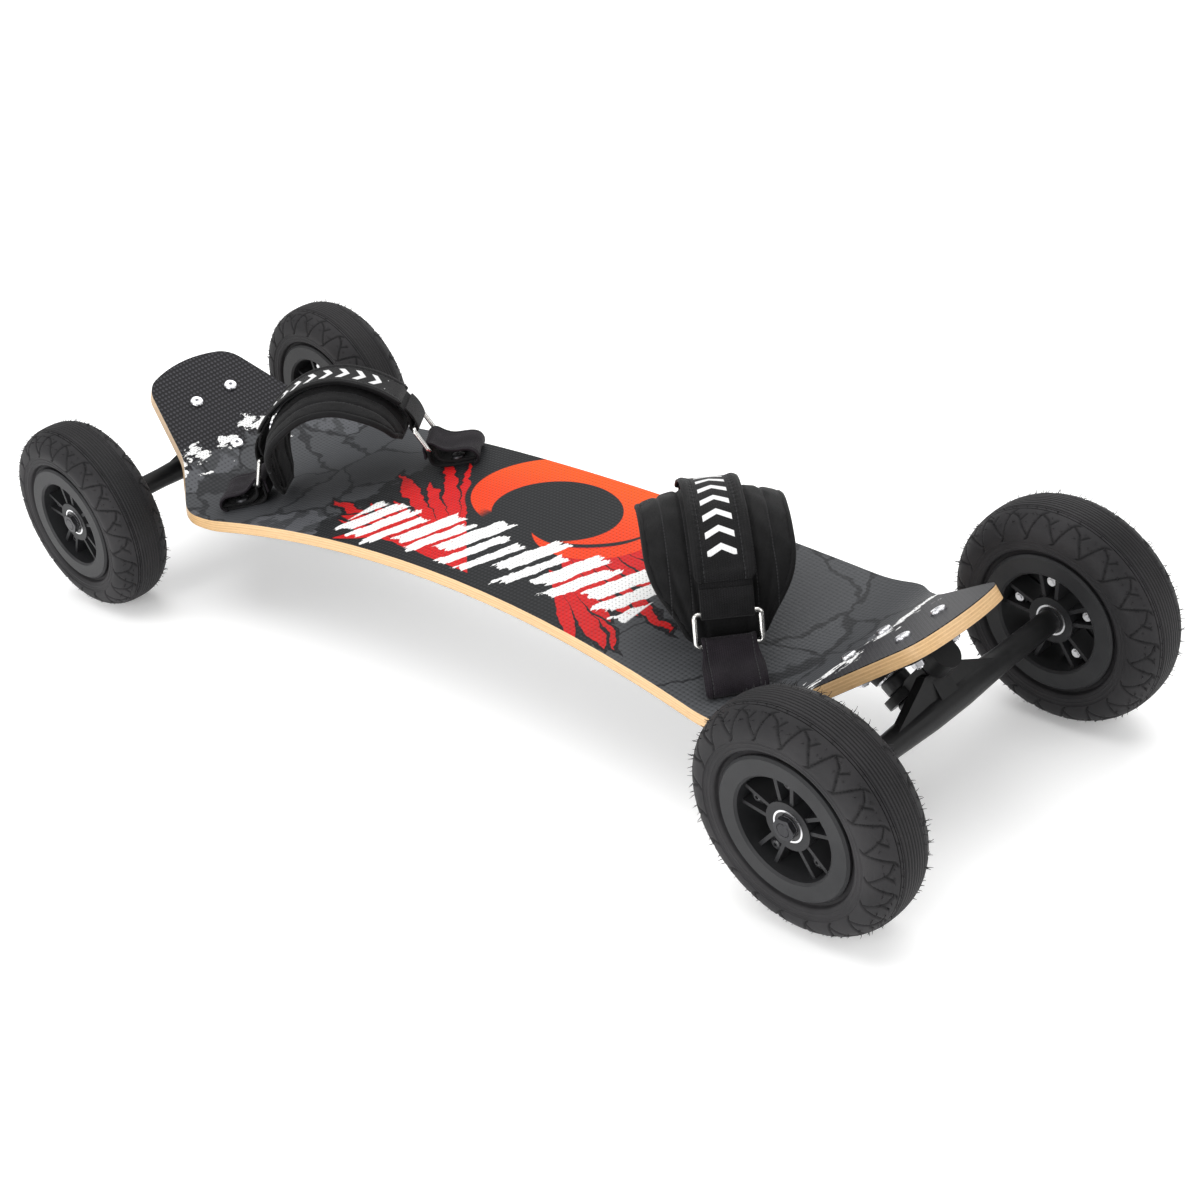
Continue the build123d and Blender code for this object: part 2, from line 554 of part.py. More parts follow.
def hub_half():
    """The outward half of the hub: rim, flange, twin-ribbed spokes and bearing boss."""
    flange_in = HUB_HALF_WIDTH - RIM_FLANGE_THICKNESS
    rim = make_face(
        Polyline(
            (RIM_BORE_RADIUS, TOUCH / 2),
            (BEAD_RADIUS, TOUCH / 2),
            (BEAD_RADIUS, flange_in),
            (RIM_FLANGE_RADIUS - 1, flange_in),
            (RIM_FLANGE_RADIUS, flange_in + 1),
            (RIM_FLANGE_RADIUS, HUB_HALF_WIDTH - 2),
            (RIM_FLANGE_RADIUS - 2, HUB_HALF_WIDTH),
            (RIM_BORE_RADIUS + 2, HUB_HALF_WIDTH),
            (RIM_BORE_RADIUS, HUB_HALF_WIDTH - 2),
            close=True,
        )
    )
    half = revolve(rim, Axis.Y)
    half += tube_along_y(HUB_BOSS_RADIUS, HUB_BORE_RADIUS, TOUCH / 2, HUB_BOSS_HALF_WIDTH)
    rib_long = RIM_BORE_RADIUS - HUB_BOSS_RADIUS + 4
    rib = Pos(HUB_BOSS_RADIUS - 2, 0, 0) * Box(rib_long, SPOKE_FRONT - SPOKE_BACK, SPOKE_THICKNESS, align=RIB)
    post = Rotation(-90, 0, 0) * Cylinder(HUB_BOLT_BOSS_RADIUS, HUB_BOLT_SEAT - TOUCH / 2, align=BASE)
    pair = Pos(HUB_BOLT_CIRCLE_RADIUS, TOUCH / 2, 0) * post
    for side in (1, -1):
        pair += Pos(0, SPOKE_BACK, side * SPOKE_GAP_HALF) * flared(rib, -side * SPOKE_FLARE)
    for angle in spoke_spots():
        half += Rotation(0, -angle, 0) * pair
    race_room = BEARING_RADIUS + TOUCH
    half -= tube_along_y(race_room, 0.001, HUB_BOSS_HALF_WIDTH - BEARING_WIDTH, HUB_HALF_WIDTH)
    for angle in spoke_spots():
        hole = Rotation(90, 0, 0) * Cylinder(HUB_BOLT_RADIUS + TOUCH, 4 * HUB_HALF_WIDTH)
        half -= Rotation(0, -angle, 0) * Pos(HUB_BOLT_CIRCLE_RADIUS, 0, 0) * hole
    valve_hole = Cylinder(VALVE_RADIUS + VALVE_HOLE_CLEARANCE, BEAD_RADIUS, align=BASE)
    half -= Pos(0, 0, -VALVE_TIP_RADIUS) * Rotation(180, 0, 0) * valve_hole
    return half


def flared(rib, angle):
    """A rib turned about its root."""
    root = HUB_BOSS_RADIUS
    return Pos(root, 0, 0) * Rotation(0, angle, 0) * Pos(-root, 0, 0) * rib


def hub_fasteners():
    """The bolts and nuts that hold the hub halves together."""
    socket = HUB_BOLT_RADIUS * 0.7
    length = 2 * HUB_BOLT_SEAT + HUB_NUT_HEIGHT + 1.5
    bolt = button_bolt(HUB_BOLT_HEAD_RADIUS, 2.8, HUB_BOLT_RADIUS, length, socket)
    nut = hex_nut(HUB_NUT_RADIUS, HUB_NUT_HEIGHT, HUB_BOLT_RADIUS + TOUCH)
    out = []
    for angle in spoke_spots():
        spot = Rotation(0, -angle, 0) * Pos(HUB_BOLT_CIRCLE_RADIUS, 0, 0)
        out.append(spot * Pos(0, HUB_BOLT_SEAT + TOUCH, 0) * Rotation(-90, 0, 0) * bolt)
        out.append(spot * Pos(0, -HUB_BOLT_SEAT - HUB_NUT_HEIGHT - TOUCH, 0) * Rotation(-90, 0, 0) * nut)
    return out


def tyre():
    """The tyre's carcass and tread as one ring, open towards the rim."""
    seat = HUB_HALF_WIDTH - RIM_FLANGE_THICKNESS - TOUCH
    inner_r = BEAD_RADIUS + TOUCH
    half = TYRE_WIDTH / 2
    deep = TYRE_RADIUS - BEAD_RADIUS
    wall = TYRE_WALL

    def right(side):
        outer = [(inner_r, side * seat), (RIM_FLANGE_RADIUS - 0.5, side * seat)]
        crown = [
            (RIM_FLANGE_RADIUS + 0.15 * deep, side * half * 0.92),
            (RIM_FLANGE_RADIUS + 0.34 * deep, side * half),
            (RIM_FLANGE_RADIUS + 0.55 * deep, side * half * 0.9),
            (TYRE_RADIUS - 0.065 * deep, side * half * 0.58),
        ]
        return outer, crown

    a, b = right(1)
    c, d = right(-1)
    outer = Spline(a[1], *b, (TYRE_RADIUS, 0), *reversed(d), c[1])
    lip = seat - wall * 1.4

    def inside(side):
        return [
            (RIM_FLANGE_RADIUS + 0.17 * deep, side * (half * 0.93 - wall)),
            (RIM_FLANGE_RADIUS + 0.34 * deep, side * (half - wall)),
            (RIM_FLANGE_RADIUS + 0.52 * deep, side * (half * 0.88 - wall)),
            (TYRE_RADIUS - 0.065 * deep - wall, side * half * 0.47),
        ]

    low = (RIM_FLANGE_RADIUS - 1, lip)
    inner = Spline(low, *inside(1), (TYRE_RADIUS - wall, 0), *reversed(inside(-1)), (low[0], -lip))
    lines = [
        outer,
        Polyline(a[1], a[0], (inner_r, lip), low),
        inner,
        Polyline((low[0], -lip), (inner_r, -lip), c[0], c[1]),
    ]
    return revolve(make_face([edge for line in lines for edge in line.edges()]), Axis.Y)


def inner_tube():
    """The inner tube with its valve stem pointing at the axle."""
    top = TYRE_RADIUS - TYRE_WALL - TUBE_CLEARANCE
    bottom = BEAD_RADIUS + TUBE_CLEARANCE
    major, minor = (top + bottom) / 2, (top - bottom) / 2
    profile = Pos(major, 0, 0) * (Circle(minor) - Circle(minor - TUBE_WALL))
    ring = revolve(profile, Axis.Y)
    stem = Cylinder(VALVE_RADIUS, bottom + TUBE_WALL / 2 - VALVE_TIP_RADIUS, align=BASE)
    stem = chamfer(stem.edges().group_by(Axis.Z)[0], 0.8)
    return ring + Rotation(180, 0, 0) * Pos(0, 0, VALVE_TIP_RADIUS) * stem


# ================================================================ foot straps
def strap_plane(end):
    """The strap's frame: x across the foot, y along it, z up from the deck."""
    turn = math.radians(STRAP_ANGLE)
    across = Vector(-end * math.cos(turn), math.sin(turn), 0)
    return deck_plane(end * STRAP_X, STRAP_Y, across)


def anchor_plane(end, side):
    """The frame of one strap anchor at its bolts, heading outwards."""
    strap = strap_plane(end)
    spot = strap.from_local_coords(Vector(side * ANCHOR_BOLT_T, 0, 0))
    return deck_plane(spot.X, spot.Y, strap.x_dir * side)


def arch_points(shape, clear=0.0):
    """The arch's points across the foot from one side to the other."""
    half = [(ARCH_HALF_SPAN * t, ARCH_HEIGHT * h - clear) for t, h in shape]
    return [(-t, h) for t, h in half[:-1]] + list(reversed(half))


def arch_band(points, out, inward, scale_t=1.0, scale_h=1.0):
    """A band around a spline through the points, from one offset to another, as a face on XY."""
    line = Spline(*[(t * scale_t, h * scale_h) for t, h in points])
    spots = [line.position_at(i / 24) for i in range(25)]
    normals = [line.tangent_at(i / 24) for i in range(25)]

    def offset_line(distance):
        return [(p.X - n.Y * distance, p.Y + n.X * distance) for p, n in zip(spots, normals)]

    upper, lower = offset_line(out), offset_line(-inward)
    edges = [Spline(*upper), Line(upper[-1], lower[-1]), Spline(*lower), Line(lower[0], upper[0])]
    return make_face([piece.edge() for piece in edges])


def strap_band():
    """The strap over the pad, with a loop round each ring, in the strap frame."""
    points = arch_points(ARCH_SHAPE)
    band = extrude(Plane.XZ * arch_band(points, STRAP_THICKNESS, 0), STRAP_WIDTH / 2, both=True)
    bar_t, bar_h = ring_upper()
    loop = Rotation(90, 0, 0) * Cylinder(RING_WIRE_RADIUS + LOOP_CLEARANCE + STRAP_THICKNESS, STRAP_WIDTH)
    room = Rotation(90, 0, 0) * Cylinder(RING_WIRE_RADIUS + LOOP_CLEARANCE, 2 * STRAP_WIDTH)
    for side in (1, -1):
        band += Pos(side * bar_t, 0, bar_h) * loop
    for side in (1, -1):
        band -= Pos(side * bar_t, 0, bar_h) * room
    return band


def ring_upper():
    """The ring's upper bar: tangent to the end of the arch."""
    t, h = ARCH_SHAPE[0]
    return ARCH_HALF_SPAN * t - RING_WIRE_RADIUS - LOOP_CLEARANCE, ARCH_HEIGHT * h


def ring_lower(side):
    """The ring's lower bar on one side."""
    bar_t, bar_h = ring_upper()
    spread = RING_LOWER_T - bar_t
    return Vector(side * RING_LOWER_T, 0, bar_h - math.sqrt(RING_LENGTH**2 - spread**2))


def pad():
    """The padded cuff: thick over the foot, drooping to both edges, narrow at its ends."""
    points = arch_points(PAD_SHAPE, PAD_GAP)
    middle = Plane.XZ * arch_band(points, 0, PAD_THICKNESS)
    edge = Plane.XZ * arch_band(points, 0, PAD_THICKNESS, PAD_EDGE_SCALE_T, PAD_EDGE_SCALE_H)
    sections = [Pos(0, -PAD_HALF_WIDTH, 0) * edge, middle, Pos(0, PAD_HALF_WIDTH, 0) * edge]
    cuff = loft([section.face() for section in sections])
    tall = 2 * ARCH_HEIGHT
    shape = make_face(
        Polyline(
            (-PAD_FOOT_HALF_WIDTH, 0),
            (PAD_FOOT_HALF_WIDTH, 0),
            (PAD_FOOT_HALF_WIDTH, PAD_FLARE_START),
            (PAD_HALF_WIDTH - 1, PAD_FLARE_END),
            (PAD_HALF_WIDTH - 1, tall),
            (1 - PAD_HALF_WIDTH, tall),
            (1 - PAD_HALF_WIDTH, PAD_FLARE_END),
            (-PAD_FOOT_HALF_WIDTH, PAD_FLARE_START),
            close=True,
        )
    )
    shape = fillet([v for v in shape.vertices() if PAD_FLARE_START <= v.Y <= PAD_FLARE_END], PAD_FOOT_HALF_WIDTH)
    trimmed = cuff & extrude(Plane.YZ * shape, 2 * ARCH_HALF_SPAN, both=True)
    short_side = Box(ARCH_HALF_SPAN * 2, 4 * PAD_HALF_WIDTH, 2 * PAD_SHORT_END_HEIGHT)
    return trimmed - Pos(ARCH_HALF_SPAN, 0, 0) * short_side


def d_ring(side):
    """A wire ring between the strap and its anchor, in the strap frame."""
    bar_t, bar_h = ring_upper()
    upper = Vector(side * bar_t, 0, bar_h)
    lower = ring_lower(side)
    middle = (upper + lower) * 0.5
    plane = Plane(origin=middle, x_dir=(0, 1, 0), z_dir=(upper - lower).cross(Vector(0, 1, 0)))
    path = plane * RectangleRounded(2 * RING_HALF_WIDTH, (upper - lower).length, RING_CORNER)
    wire = path.face().outer_wire()
    start = Plane(origin=wire.position_at(0.1), z_dir=wire.tangent_at(0.1))
    tight = sweep(start * Circle(RING_WIRE_RADIUS), path=wire)
    return tight


def capsule(start, end, width):
    """A round-ended bar on XY from one point to another."""
    a, b = Vector(*start, 0), Vector(*end, 0)
    middle = (a + b) * 0.5
    turn = math.degrees(math.atan2(b.Y - a.Y, b.X - a.X))
    return Pos(middle.X, middle.Y, 0) * Rotation(0, 0, turn) * SlotCenterToCenter((b - a).length, width)


def anchor(end, side):
    """The doubled webbing from the ring's lower bar to the deck, in the row frame."""
    plane = anchor_plane(end, side)
    strap = strap_plane(end)
    bar = plane.to_local_coords(strap.from_local_coords(ring_lower(side)))
    level = ANCHOR_THICKNESS / 2 + TOUCH
    bend = (-ANCHOR_BEND_BEFORE_BOLT, level)
    flat = Pos(0, 0, level) * Box(ANCHOR_BEYOND_BOLT + ANCHOR_BEND_BEFORE_BOLT, ANCHOR_WIDTH, ANCHOR_THICKNESS)
    flat = Pos((ANCHOR_BEYOND_BOLT - ANCHOR_BEND_BEFORE_BOLT) / 2, 0, 0) * flat
    flat = fillet(flat.edges().filter_by(Axis.Z), ANCHOR_CORNER)
    rise = extrude(Plane.XZ * capsule(bend, (bar.X, bar.Z), ANCHOR_THICKNESS), ANCHOR_NECK_WIDTH / 2, both=True)
    eye = Pos(bar.X, 0, bar.Z) * Rotation(90, 0, 0)
    loop = RING_WIRE_RADIUS + LOOP_CLEARANCE
    body = flat + rise + eye * Cylinder(loop + ANCHOR_THICKNESS / 2, ANCHOR_NECK_WIDTH)
    for g in (ANCHOR_BOLT_G, -ANCHOR_BOLT_G):
        body -= Pos(0, g, 0) * Cylinder(DECK_BOLT_RADIUS + BOLT_CLEARANCE, 4 * ANCHOR_THICKNESS)
    ring_room = Pos(*ring_lower(side)) * Rotation(90, 0, 0) * Cylinder(loop, 2 * ANCHOR_WIDTH)
    return plane.location * body - strap.location * ring_room


def strap_bolts():
    """The bolt and nut of every strap anchor."""
    grip_span = ANCHOR_THICKNESS + 2 * TOUCH
    length = grip_span + DECK_STACK + DECK_NUT_HEIGHT + 1
    bolt = Pos(0, 0, grip_span) * button_bolt(DECK_BOLT_HEAD_RADIUS, DECK_BOLT_HEAD_HEIGHT, DECK_BOLT_RADIUS, length, 2.3)
    nut = Pos(0, 0, -DECK_STACK - DECK_NUT_HEIGHT - 2 * TOUCH) * hex_nut(DECK_NUT_RADIUS, DECK_NUT_HEIGHT, DECK_BOLT_RADIUS + TOUCH)
    places = strap_bolt_places()
    return [place * bolt for place in places], [place * nut for place in places]


# ================================================================ write every sub-part
def write_root():
    """The deck, everything bolted to it and the parts of both trucks that stay with it."""
    deck, grip = build_deck()
    save(deck, "deck")
    save(grip, "grip_sheet")
    length = DECK_STACK + BASEPLATE_THICKNESS + DECK_NUT_HEIGHT + 1.5
    bolt = Pos(0, 0, DECK_STACK + TOUCH) * button_bolt(
        DECK_BOLT_HEAD_RADIUS, DECK_BOLT_HEAD_HEIGHT, DECK_BOLT_RADIUS, length, 2.3
    )
    nut = Pos(0, 0, -BASEPLATE_THICKNESS - DECK_NUT_HEIGHT - TOUCH) * hex_nut(
        DECK_NUT_RADIUS, DECK_NUT_HEIGHT, DECK_BOLT_RADIUS + TOUCH
    )
    places = [ENDS[end] * Pos(u, y, 0) for end in ENDS for u, y in truck_bolt_points()]
    save_all([place * bolt for place in places], "deck_bolts")
    save_all([place * nut for place in places], "deck_nuts")
    plate = Pos(0, 0, -TOUCH) * baseplate()
    for end, place in ENDS.items():
        save(place * plate, f"baseplate_{end}")
        save(place * bushing(1), f"bushing_upper_{end}")
        save(place * bushing(-1), f"bushing_lower_{end}")
    save_all([place * kingpin() for place in ENDS.values()], "kingpins")
    save_all([place * kingpin_nut() for place in ENDS.values()], "kingpin_nuts")
    save_all([place * cup_washer(side) for place in ENDS.values() for side in (1, -1)], "cup_washers")
    save_all([place * pivot_cup() for place in ENDS.values()], "pivot_cups")


def write_straps():
    """Both foot straps with their rings, anchors and bolts."""
    rings = []
    deck, grip = deck_blanks()
    for name, end in (("front", 1), ("rear", -1)):
        place = strap_plane(end).location
        if end > 0:
            save(place * strap_band(), f"strap_{name}")
            save(place * pad(), f"strap_pad_{name}")
        else:
            save(mirror(strap_plane(1).location * strap_band(), Plane.YZ), f"strap_{name}")
            save(mirror(strap_plane(1).location * pad(), Plane.YZ), f"strap_pad_{name}")
        save_all([anchor(end, side) - deck - grip for side in (1, -1)], f"strap_anchors_{name}")
        rings += [place * d_ring(side) for side in (1, -1)]
    save_all(rings, "d_rings")
    bolts, nuts = strap_bolts()
    save_all(bolts, "strap_bolts")
    save_all(nuts, "strap_nuts")


def write_hangers():
    """Each hanger with what is clamped on its axle."""
    spots = {"front": Pos(AXLE_X, 0, TYRE_RADIUS), "rear": Rotation(0, 0, 180) * Pos(AXLE_X, 0, TYRE_RADIUS)}
    for end, place in ENDS.items():
        spot = spots[end]
        save(place * hanger(), f"hanger_{end}")
        save(spot * axle(), f"axle_{end}")
        save_all([spot * part for part in on_axle(axle_nut())], f"axle_nuts_{end}")
        save_all([spot * part for part in on_axle(axle_spacer())], f"axle_spacers_{end}")
        save_all([spot * part for washer in washers() for part in on_axle(washer)], f"axle_washers_{end}")
        save_all([spot * part for race in inner_races() for part in on_axle(race)], f"inner_races_{end}")


def write_wheels():
    """Four wheels, each with hub halves, tyre, inner tube and bearings."""
    half = hub_half()
    groups = {
        "tyre": [tyre()],
        "inner_tube": [inner_tube()],
        "hub_outer": [half],
        "hub_inner": [mirror(half, Plane.XZ)],
        "hub_bolts": hub_fasteners(),
        "wheel_bearings": wheel_bearings(),
    }
    for end, sx in (("front", 1), ("rear", -1)):
        for side, sy in (("left", 1), ("right", -1)):
            place = Pos(sx * AXLE_X, sy * WHEEL_Y, TYRE_RADIUS) * Rotation(0, 0, 0 if sy > 0 else 180)
            for name, parts in groups.items():
                save_all([place * part for part in parts], f"{name}_{end}_{side}")


write_root()
write_straps()
write_hangers()
write_wheels()
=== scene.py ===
"""Looks of the mountainboard: printed deck, padded foot straps, trucks and pneumatic wheels."""

import json
import logging
import math
from dataclasses import dataclass, field
from enum import Enum
from typing import Callable, Iterable, Optional, Union

import bpy
import numpy as np
from mathutils import Matrix, Vector

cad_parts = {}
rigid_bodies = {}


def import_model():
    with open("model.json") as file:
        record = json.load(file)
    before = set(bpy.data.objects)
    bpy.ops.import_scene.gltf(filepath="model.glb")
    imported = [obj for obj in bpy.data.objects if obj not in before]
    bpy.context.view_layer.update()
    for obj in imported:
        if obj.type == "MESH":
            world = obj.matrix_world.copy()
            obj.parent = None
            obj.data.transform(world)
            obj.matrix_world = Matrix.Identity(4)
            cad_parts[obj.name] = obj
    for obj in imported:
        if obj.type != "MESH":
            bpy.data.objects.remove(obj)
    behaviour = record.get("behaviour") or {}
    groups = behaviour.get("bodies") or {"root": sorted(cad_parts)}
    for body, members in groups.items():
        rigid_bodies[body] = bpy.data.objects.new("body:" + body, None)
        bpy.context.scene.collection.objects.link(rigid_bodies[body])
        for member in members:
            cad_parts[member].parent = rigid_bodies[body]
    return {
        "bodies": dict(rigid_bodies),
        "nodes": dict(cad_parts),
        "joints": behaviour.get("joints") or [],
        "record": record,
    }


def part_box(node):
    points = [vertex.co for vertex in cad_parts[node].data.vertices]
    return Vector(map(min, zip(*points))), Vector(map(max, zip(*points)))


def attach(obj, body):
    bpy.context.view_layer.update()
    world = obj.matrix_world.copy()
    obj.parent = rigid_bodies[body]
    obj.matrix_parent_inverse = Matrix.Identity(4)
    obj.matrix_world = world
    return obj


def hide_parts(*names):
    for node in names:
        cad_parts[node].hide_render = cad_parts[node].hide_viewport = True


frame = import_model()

log = logging.getLogger("mountainboard")
MM = 0.001
Socket = bpy.types.NodeSocket
Input = Union[Socket, float, tuple]
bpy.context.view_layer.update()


# ---------------------------------------------------------------- node graphs
class Graph:
    """A short way to write node trees: each method adds a node and returns its output socket."""

    def __init__(self, tree: bpy.types.NodeTree) -> None:
        """Keep the tree that the nodes go in."""
        self.tree = tree

    def add(self, kind: str, **settings: object) -> bpy.types.Node:
        """Add a node and set its properties.

        Args:
            kind: the node's type name without the ShaderNode prefix.
            settings: properties set on the node.

        Returns:
            The new node.
        """
        node = self.tree.nodes.new("ShaderNode" + kind)
        for name, value in settings.items():
            setattr(node, name, value)
        return node

    def feed(self, socket: Socket, value: Input) -> None:
        """Link a socket, or set its value."""
        if isinstance(value, bpy.types.NodeSocket):
            self.tree.links.new(value, socket)
        elif isinstance(value, tuple) and len(value) == 3 and socket.type == "RGBA":
            socket.default_value = (*value, 1.0)
        else:
            socket.default_value = value

    def math(self, operation: str, a: Input, b: Input = 0.0, c: Input = 0.0, clamp: bool = False) -> Socket:
        """One Math node."""
        node = self.add("Math", operation=operation, use_clamp=clamp)
        for socket, value in zip(node.inputs, (a, b, c)):
            self.feed(socket, value)
        return node.outputs[0]

    def plus(self, a: Input, b: Input, clamp: bool = False) -> Socket:
        """The sum of two values."""
        return self.math("ADD", a, b, clamp=clamp)

    def minus(self, a: Input, b: Input) -> Socket:
        """The first value less the second."""
        return self.math("SUBTRACT", a, b)

    def times(self, a: Input, b: Input) -> Socket:
        """The product of two values."""
        return self.math("MULTIPLY", a, b)

    def invert(self, value: Input) -> Socket:
        """One less the value."""
        return self.math("SUBTRACT", 1.0, value)

    def absolute(self, value: Input) -> Socket:
        """The value without its sign."""
        return self.math("ABSOLUTE", value)

    def vector(self, operation: str, a: Input, b: Input = (0.0, 0.0, 0.0), scale: Input = 1.0) -> Socket:
        """One Vector Math node."""
        node = self.add("VectorMath", operation=operation)
        self.feed(node.inputs[0], a)
        self.feed(node.inputs[1], b)
        if operation == "SCALE":
            self.feed(node.inputs[3], scale)
        return node.outputs["Value" if operation in ("LENGTH", "DOT_PRODUCT", "DISTANCE") else "Vector"]

    def split(self, vector: Input) -> tuple[Socket, Socket, Socket]:
        """The X, Y and Z of a vector."""
        node = self.add("SeparateXYZ")
        self.feed(node.inputs[0], vector)
        return node.outputs[0], node.outputs[1], node.outputs[2]

    def join(self, x: Input, y: Input, z: Input = 0.0) -> Socket:
        """A vector from three numbers."""
        node = self.add("CombineXYZ")
        for socket, value in zip(node.inputs, (x, y, z)):
            self.feed(socket, value)
        return node.outputs[0]

    def noise(
        self, vector: Input, scale: Input, detail: float = 2.0, rough: float = 0.5, twist: float = 0.0
    ) -> Socket:
        """A noise texture's value."""
        node = self.add("TexNoise")
        for name, value in (
            ("Vector", vector),
            ("Scale", scale),
            ("Detail", detail),
            ("Roughness", rough),
            ("Distortion", twist),
        ):
            self.feed(node.inputs[name], value)
        return node.outputs[0]

    def cells(self, vector: Input, scale: Input, feature: str = "F1", out: str = "Distance") -> Socket:
        """A Voronoi texture's output."""
        node = self.add("TexVoronoi", feature=feature)
        self.feed(node.inputs["Vector"], vector)
        self.feed(node.inputs["Scale"], scale)
        return node.outputs[out]

    def step(self, value: Input, low: Input, high: Input) -> Socket:
        """Zero below low, one above high, smooth between."""
        node = self.add("MapRange", interpolation_type="SMOOTHSTEP", clamp=True)
        for name, v in (("Value", value), ("From Min", low), ("From Max", high)):
            self.feed(node.inputs[name], v)
        return node.outputs[0]

    def mix(self, factor: Input, a: Input, b: Input) -> Socket:
        """A colour mix."""
        node = self.add("Mix", data_type="RGBA", blend_type="MIX")
        self.feed(node.inputs[0], factor)
        self.feed(node.inputs[6], a)
        self.feed(node.inputs[7], b)
        return node.outputs[2]

    def bump(self, height: Input, distance: float, strength: float = 1.0) -> Socket:
        """A Bump node's normal."""
        node = self.add("Bump")
        self.feed(node.inputs["Height"], height)
        node.inputs["Distance"].default_value = distance
        node.inputs["Strength"].default_value = strength
        return node.outputs[0]

    def place(self, group: bpy.types.NodeTree, **values: Input) -> bpy.types.Node:
        """Add a group node with its inputs set; an underscore in a name stands for a space."""
        node = self.tree.nodes.new("ShaderNodeGroup")
        node.node_tree = group
        for name, value in values.items():
            self.feed(node.inputs[name.replace("_", " ")], value)
        return node


GroupParts = tuple[bpy.types.NodeTree, Graph, bpy.types.Node, bpy.types.Node]


def new_group(name: str, inputs: dict[str, str], outputs: dict[str, str]) -> GroupParts:
    """Start a node group.

    Args:
        name: the group's name.
        inputs: socket type by input name.
        outputs: socket type by output name.

    Returns:
        The tree, a graph on it, its input node and its output node.
    """
    tree = bpy.data.node_groups.new(name, "ShaderNodeTree")
    for label, kind in inputs.items():
        tree.interface.new_socket(label, in_out="INPUT", socket_type="NodeSocket" + kind)
    for label, kind in outputs.items():
        tree.interface.new_socket(label, in_out="OUTPUT", socket_type="NodeSocket" + kind)
    return tree, Graph(tree), tree.nodes.new("NodeGroupInput"), tree.nodes.new("NodeGroupOutput")


class Effects:
    """Node groups that several finishes share, each made once."""

    def __init__(self) -> None:
        """Make every group."""
        self.grain = self._grain()
        self.weave = self._weave()
        self.scuffs = self._scuffs()
        self.stitches = self._stitches()

    @staticmethod
    def _grain() -> bpy.types.NodeTree:
        """Fine moulded or coated grain: a height and a slow tone change."""
        tree, g, i, o = new_group(
            "surface_grain",
            {"Vector": "Vector", "Fine": "Float", "Broad": "Float"},
            {"Height": "Float", "Tone": "Float"},
        )
        fine = g.noise(i.outputs["Vector"], i.outputs["Fine"], 3.0, 0.6)
        pits = g.cells(i.outputs["Vector"], i.outputs["Fine"])
        height = g.plus(g.times(fine, 0.6), g.times(pits, 0.4))
        g.feed(o.inputs["Height"], height)
        g.feed(o.inputs["Tone"], g.noise(i.outputs["Vector"], i.outputs["Broad"], 4.0, 0.55))
        return tree

    @staticmethod
    def _weave() -> bpy.types.NodeTree:
        """A plain weave on UV in metres: thread height and the gaps between threads."""
        tree, g, i, o = new_group(
            "thread_weave",
            {"Vector": "Vector", "Along": "Float", "Across": "Float"},
            {"Height": "Float", "Gap": "Float"},
        )
        u, v, _ = g.split(i.outputs["Vector"])
        a = g.times(u, i.outputs["Along"])
        b = g.times(v, i.outputs["Across"])
        row = g.times(g.math("PINGPONG", g.math("FLOOR", b), 1.0), 0.5)
        over = g.absolute(g.math("SINE", g.times(g.plus(a, row), math.pi)))
        across = g.absolute(g.math("SINE", g.times(b, math.pi)))
        height = g.times(g.math("POWER", over, 0.6), g.math("POWER", across, 0.5))
        g.feed(o.inputs["Height"], height)
        g.feed(o.inputs["Gap"], g.invert(g.step(height, 0.1, 0.55)))
        return tree

    @staticmethod
    def _scuffs() -> bpy.types.NodeTree:
        """Sparse handling marks."""
        tree, g, i, o = new_group(
            "handling_marks", {"Vector": "Vector", "Scale": "Float", "Amount": "Float"}, {"Mask": "Float"}
        )
        stretched = g.vector("MULTIPLY", i.outputs["Vector"], (1.0, 3.0, 2.0))
        lines = g.noise(stretched, i.outputs["Scale"], 6.0, 0.7, 0.6)
        where = g.noise(i.outputs["Vector"], g.times(i.outputs["Scale"], 0.15), 2.0)
        mask = g.times(g.step(lines, 0.6, 0.72), g.step(where, 0.5, 0.7))
        g.feed(o.inputs["Mask"], g.times(mask, i.outputs["Amount"]))
        return tree

    @staticmethod
    def _stitches() -> bpy.types.NodeTree:
        """A row of stitches along U at a given V."""
        tree, g, i, o = new_group(
            "stitch_row",
            {"Vector": "Vector", "Row": "Float", "Pitch": "Float", "Width": "Float"},
            {"Thread": "Float", "Dent": "Float"},
        )
        u, v, _ = g.split(i.outputs["Vector"])
        off = g.absolute(g.minus(v, i.outputs["Row"]))
        near = g.invert(g.step(off, g.times(i.outputs["Width"], 0.6), i.outputs["Width"]))
        phase = g.math("FRACT", g.math("DIVIDE", u, i.outputs["Pitch"]))
        dash = g.invert(g.step(g.absolute(g.minus(phase, 0.5)), 0.3, 0.4))
        g.feed(o.inputs["Thread"], g.times(near, dash))
        wide = g.times(i.outputs["Width"], 3.0)
        g.feed(o.inputs["Dent"], g.invert(g.step(off, i.outputs["Width"], wide)))
        return tree


EFFECTS = Effects()


def start_material(name: str) -> tuple[bpy.types.Material, Graph, bpy.types.Node]:
    """A new node material.

    Args:
        name: the material's name.

    Returns:
        The material, a graph on its tree and its Principled BSDF.
    """
    material = bpy.data.materials.new(name)
    material.use_nodes = True
    return material, Graph(material.node_tree), material.node_tree.nodes["Principled BSDF"]


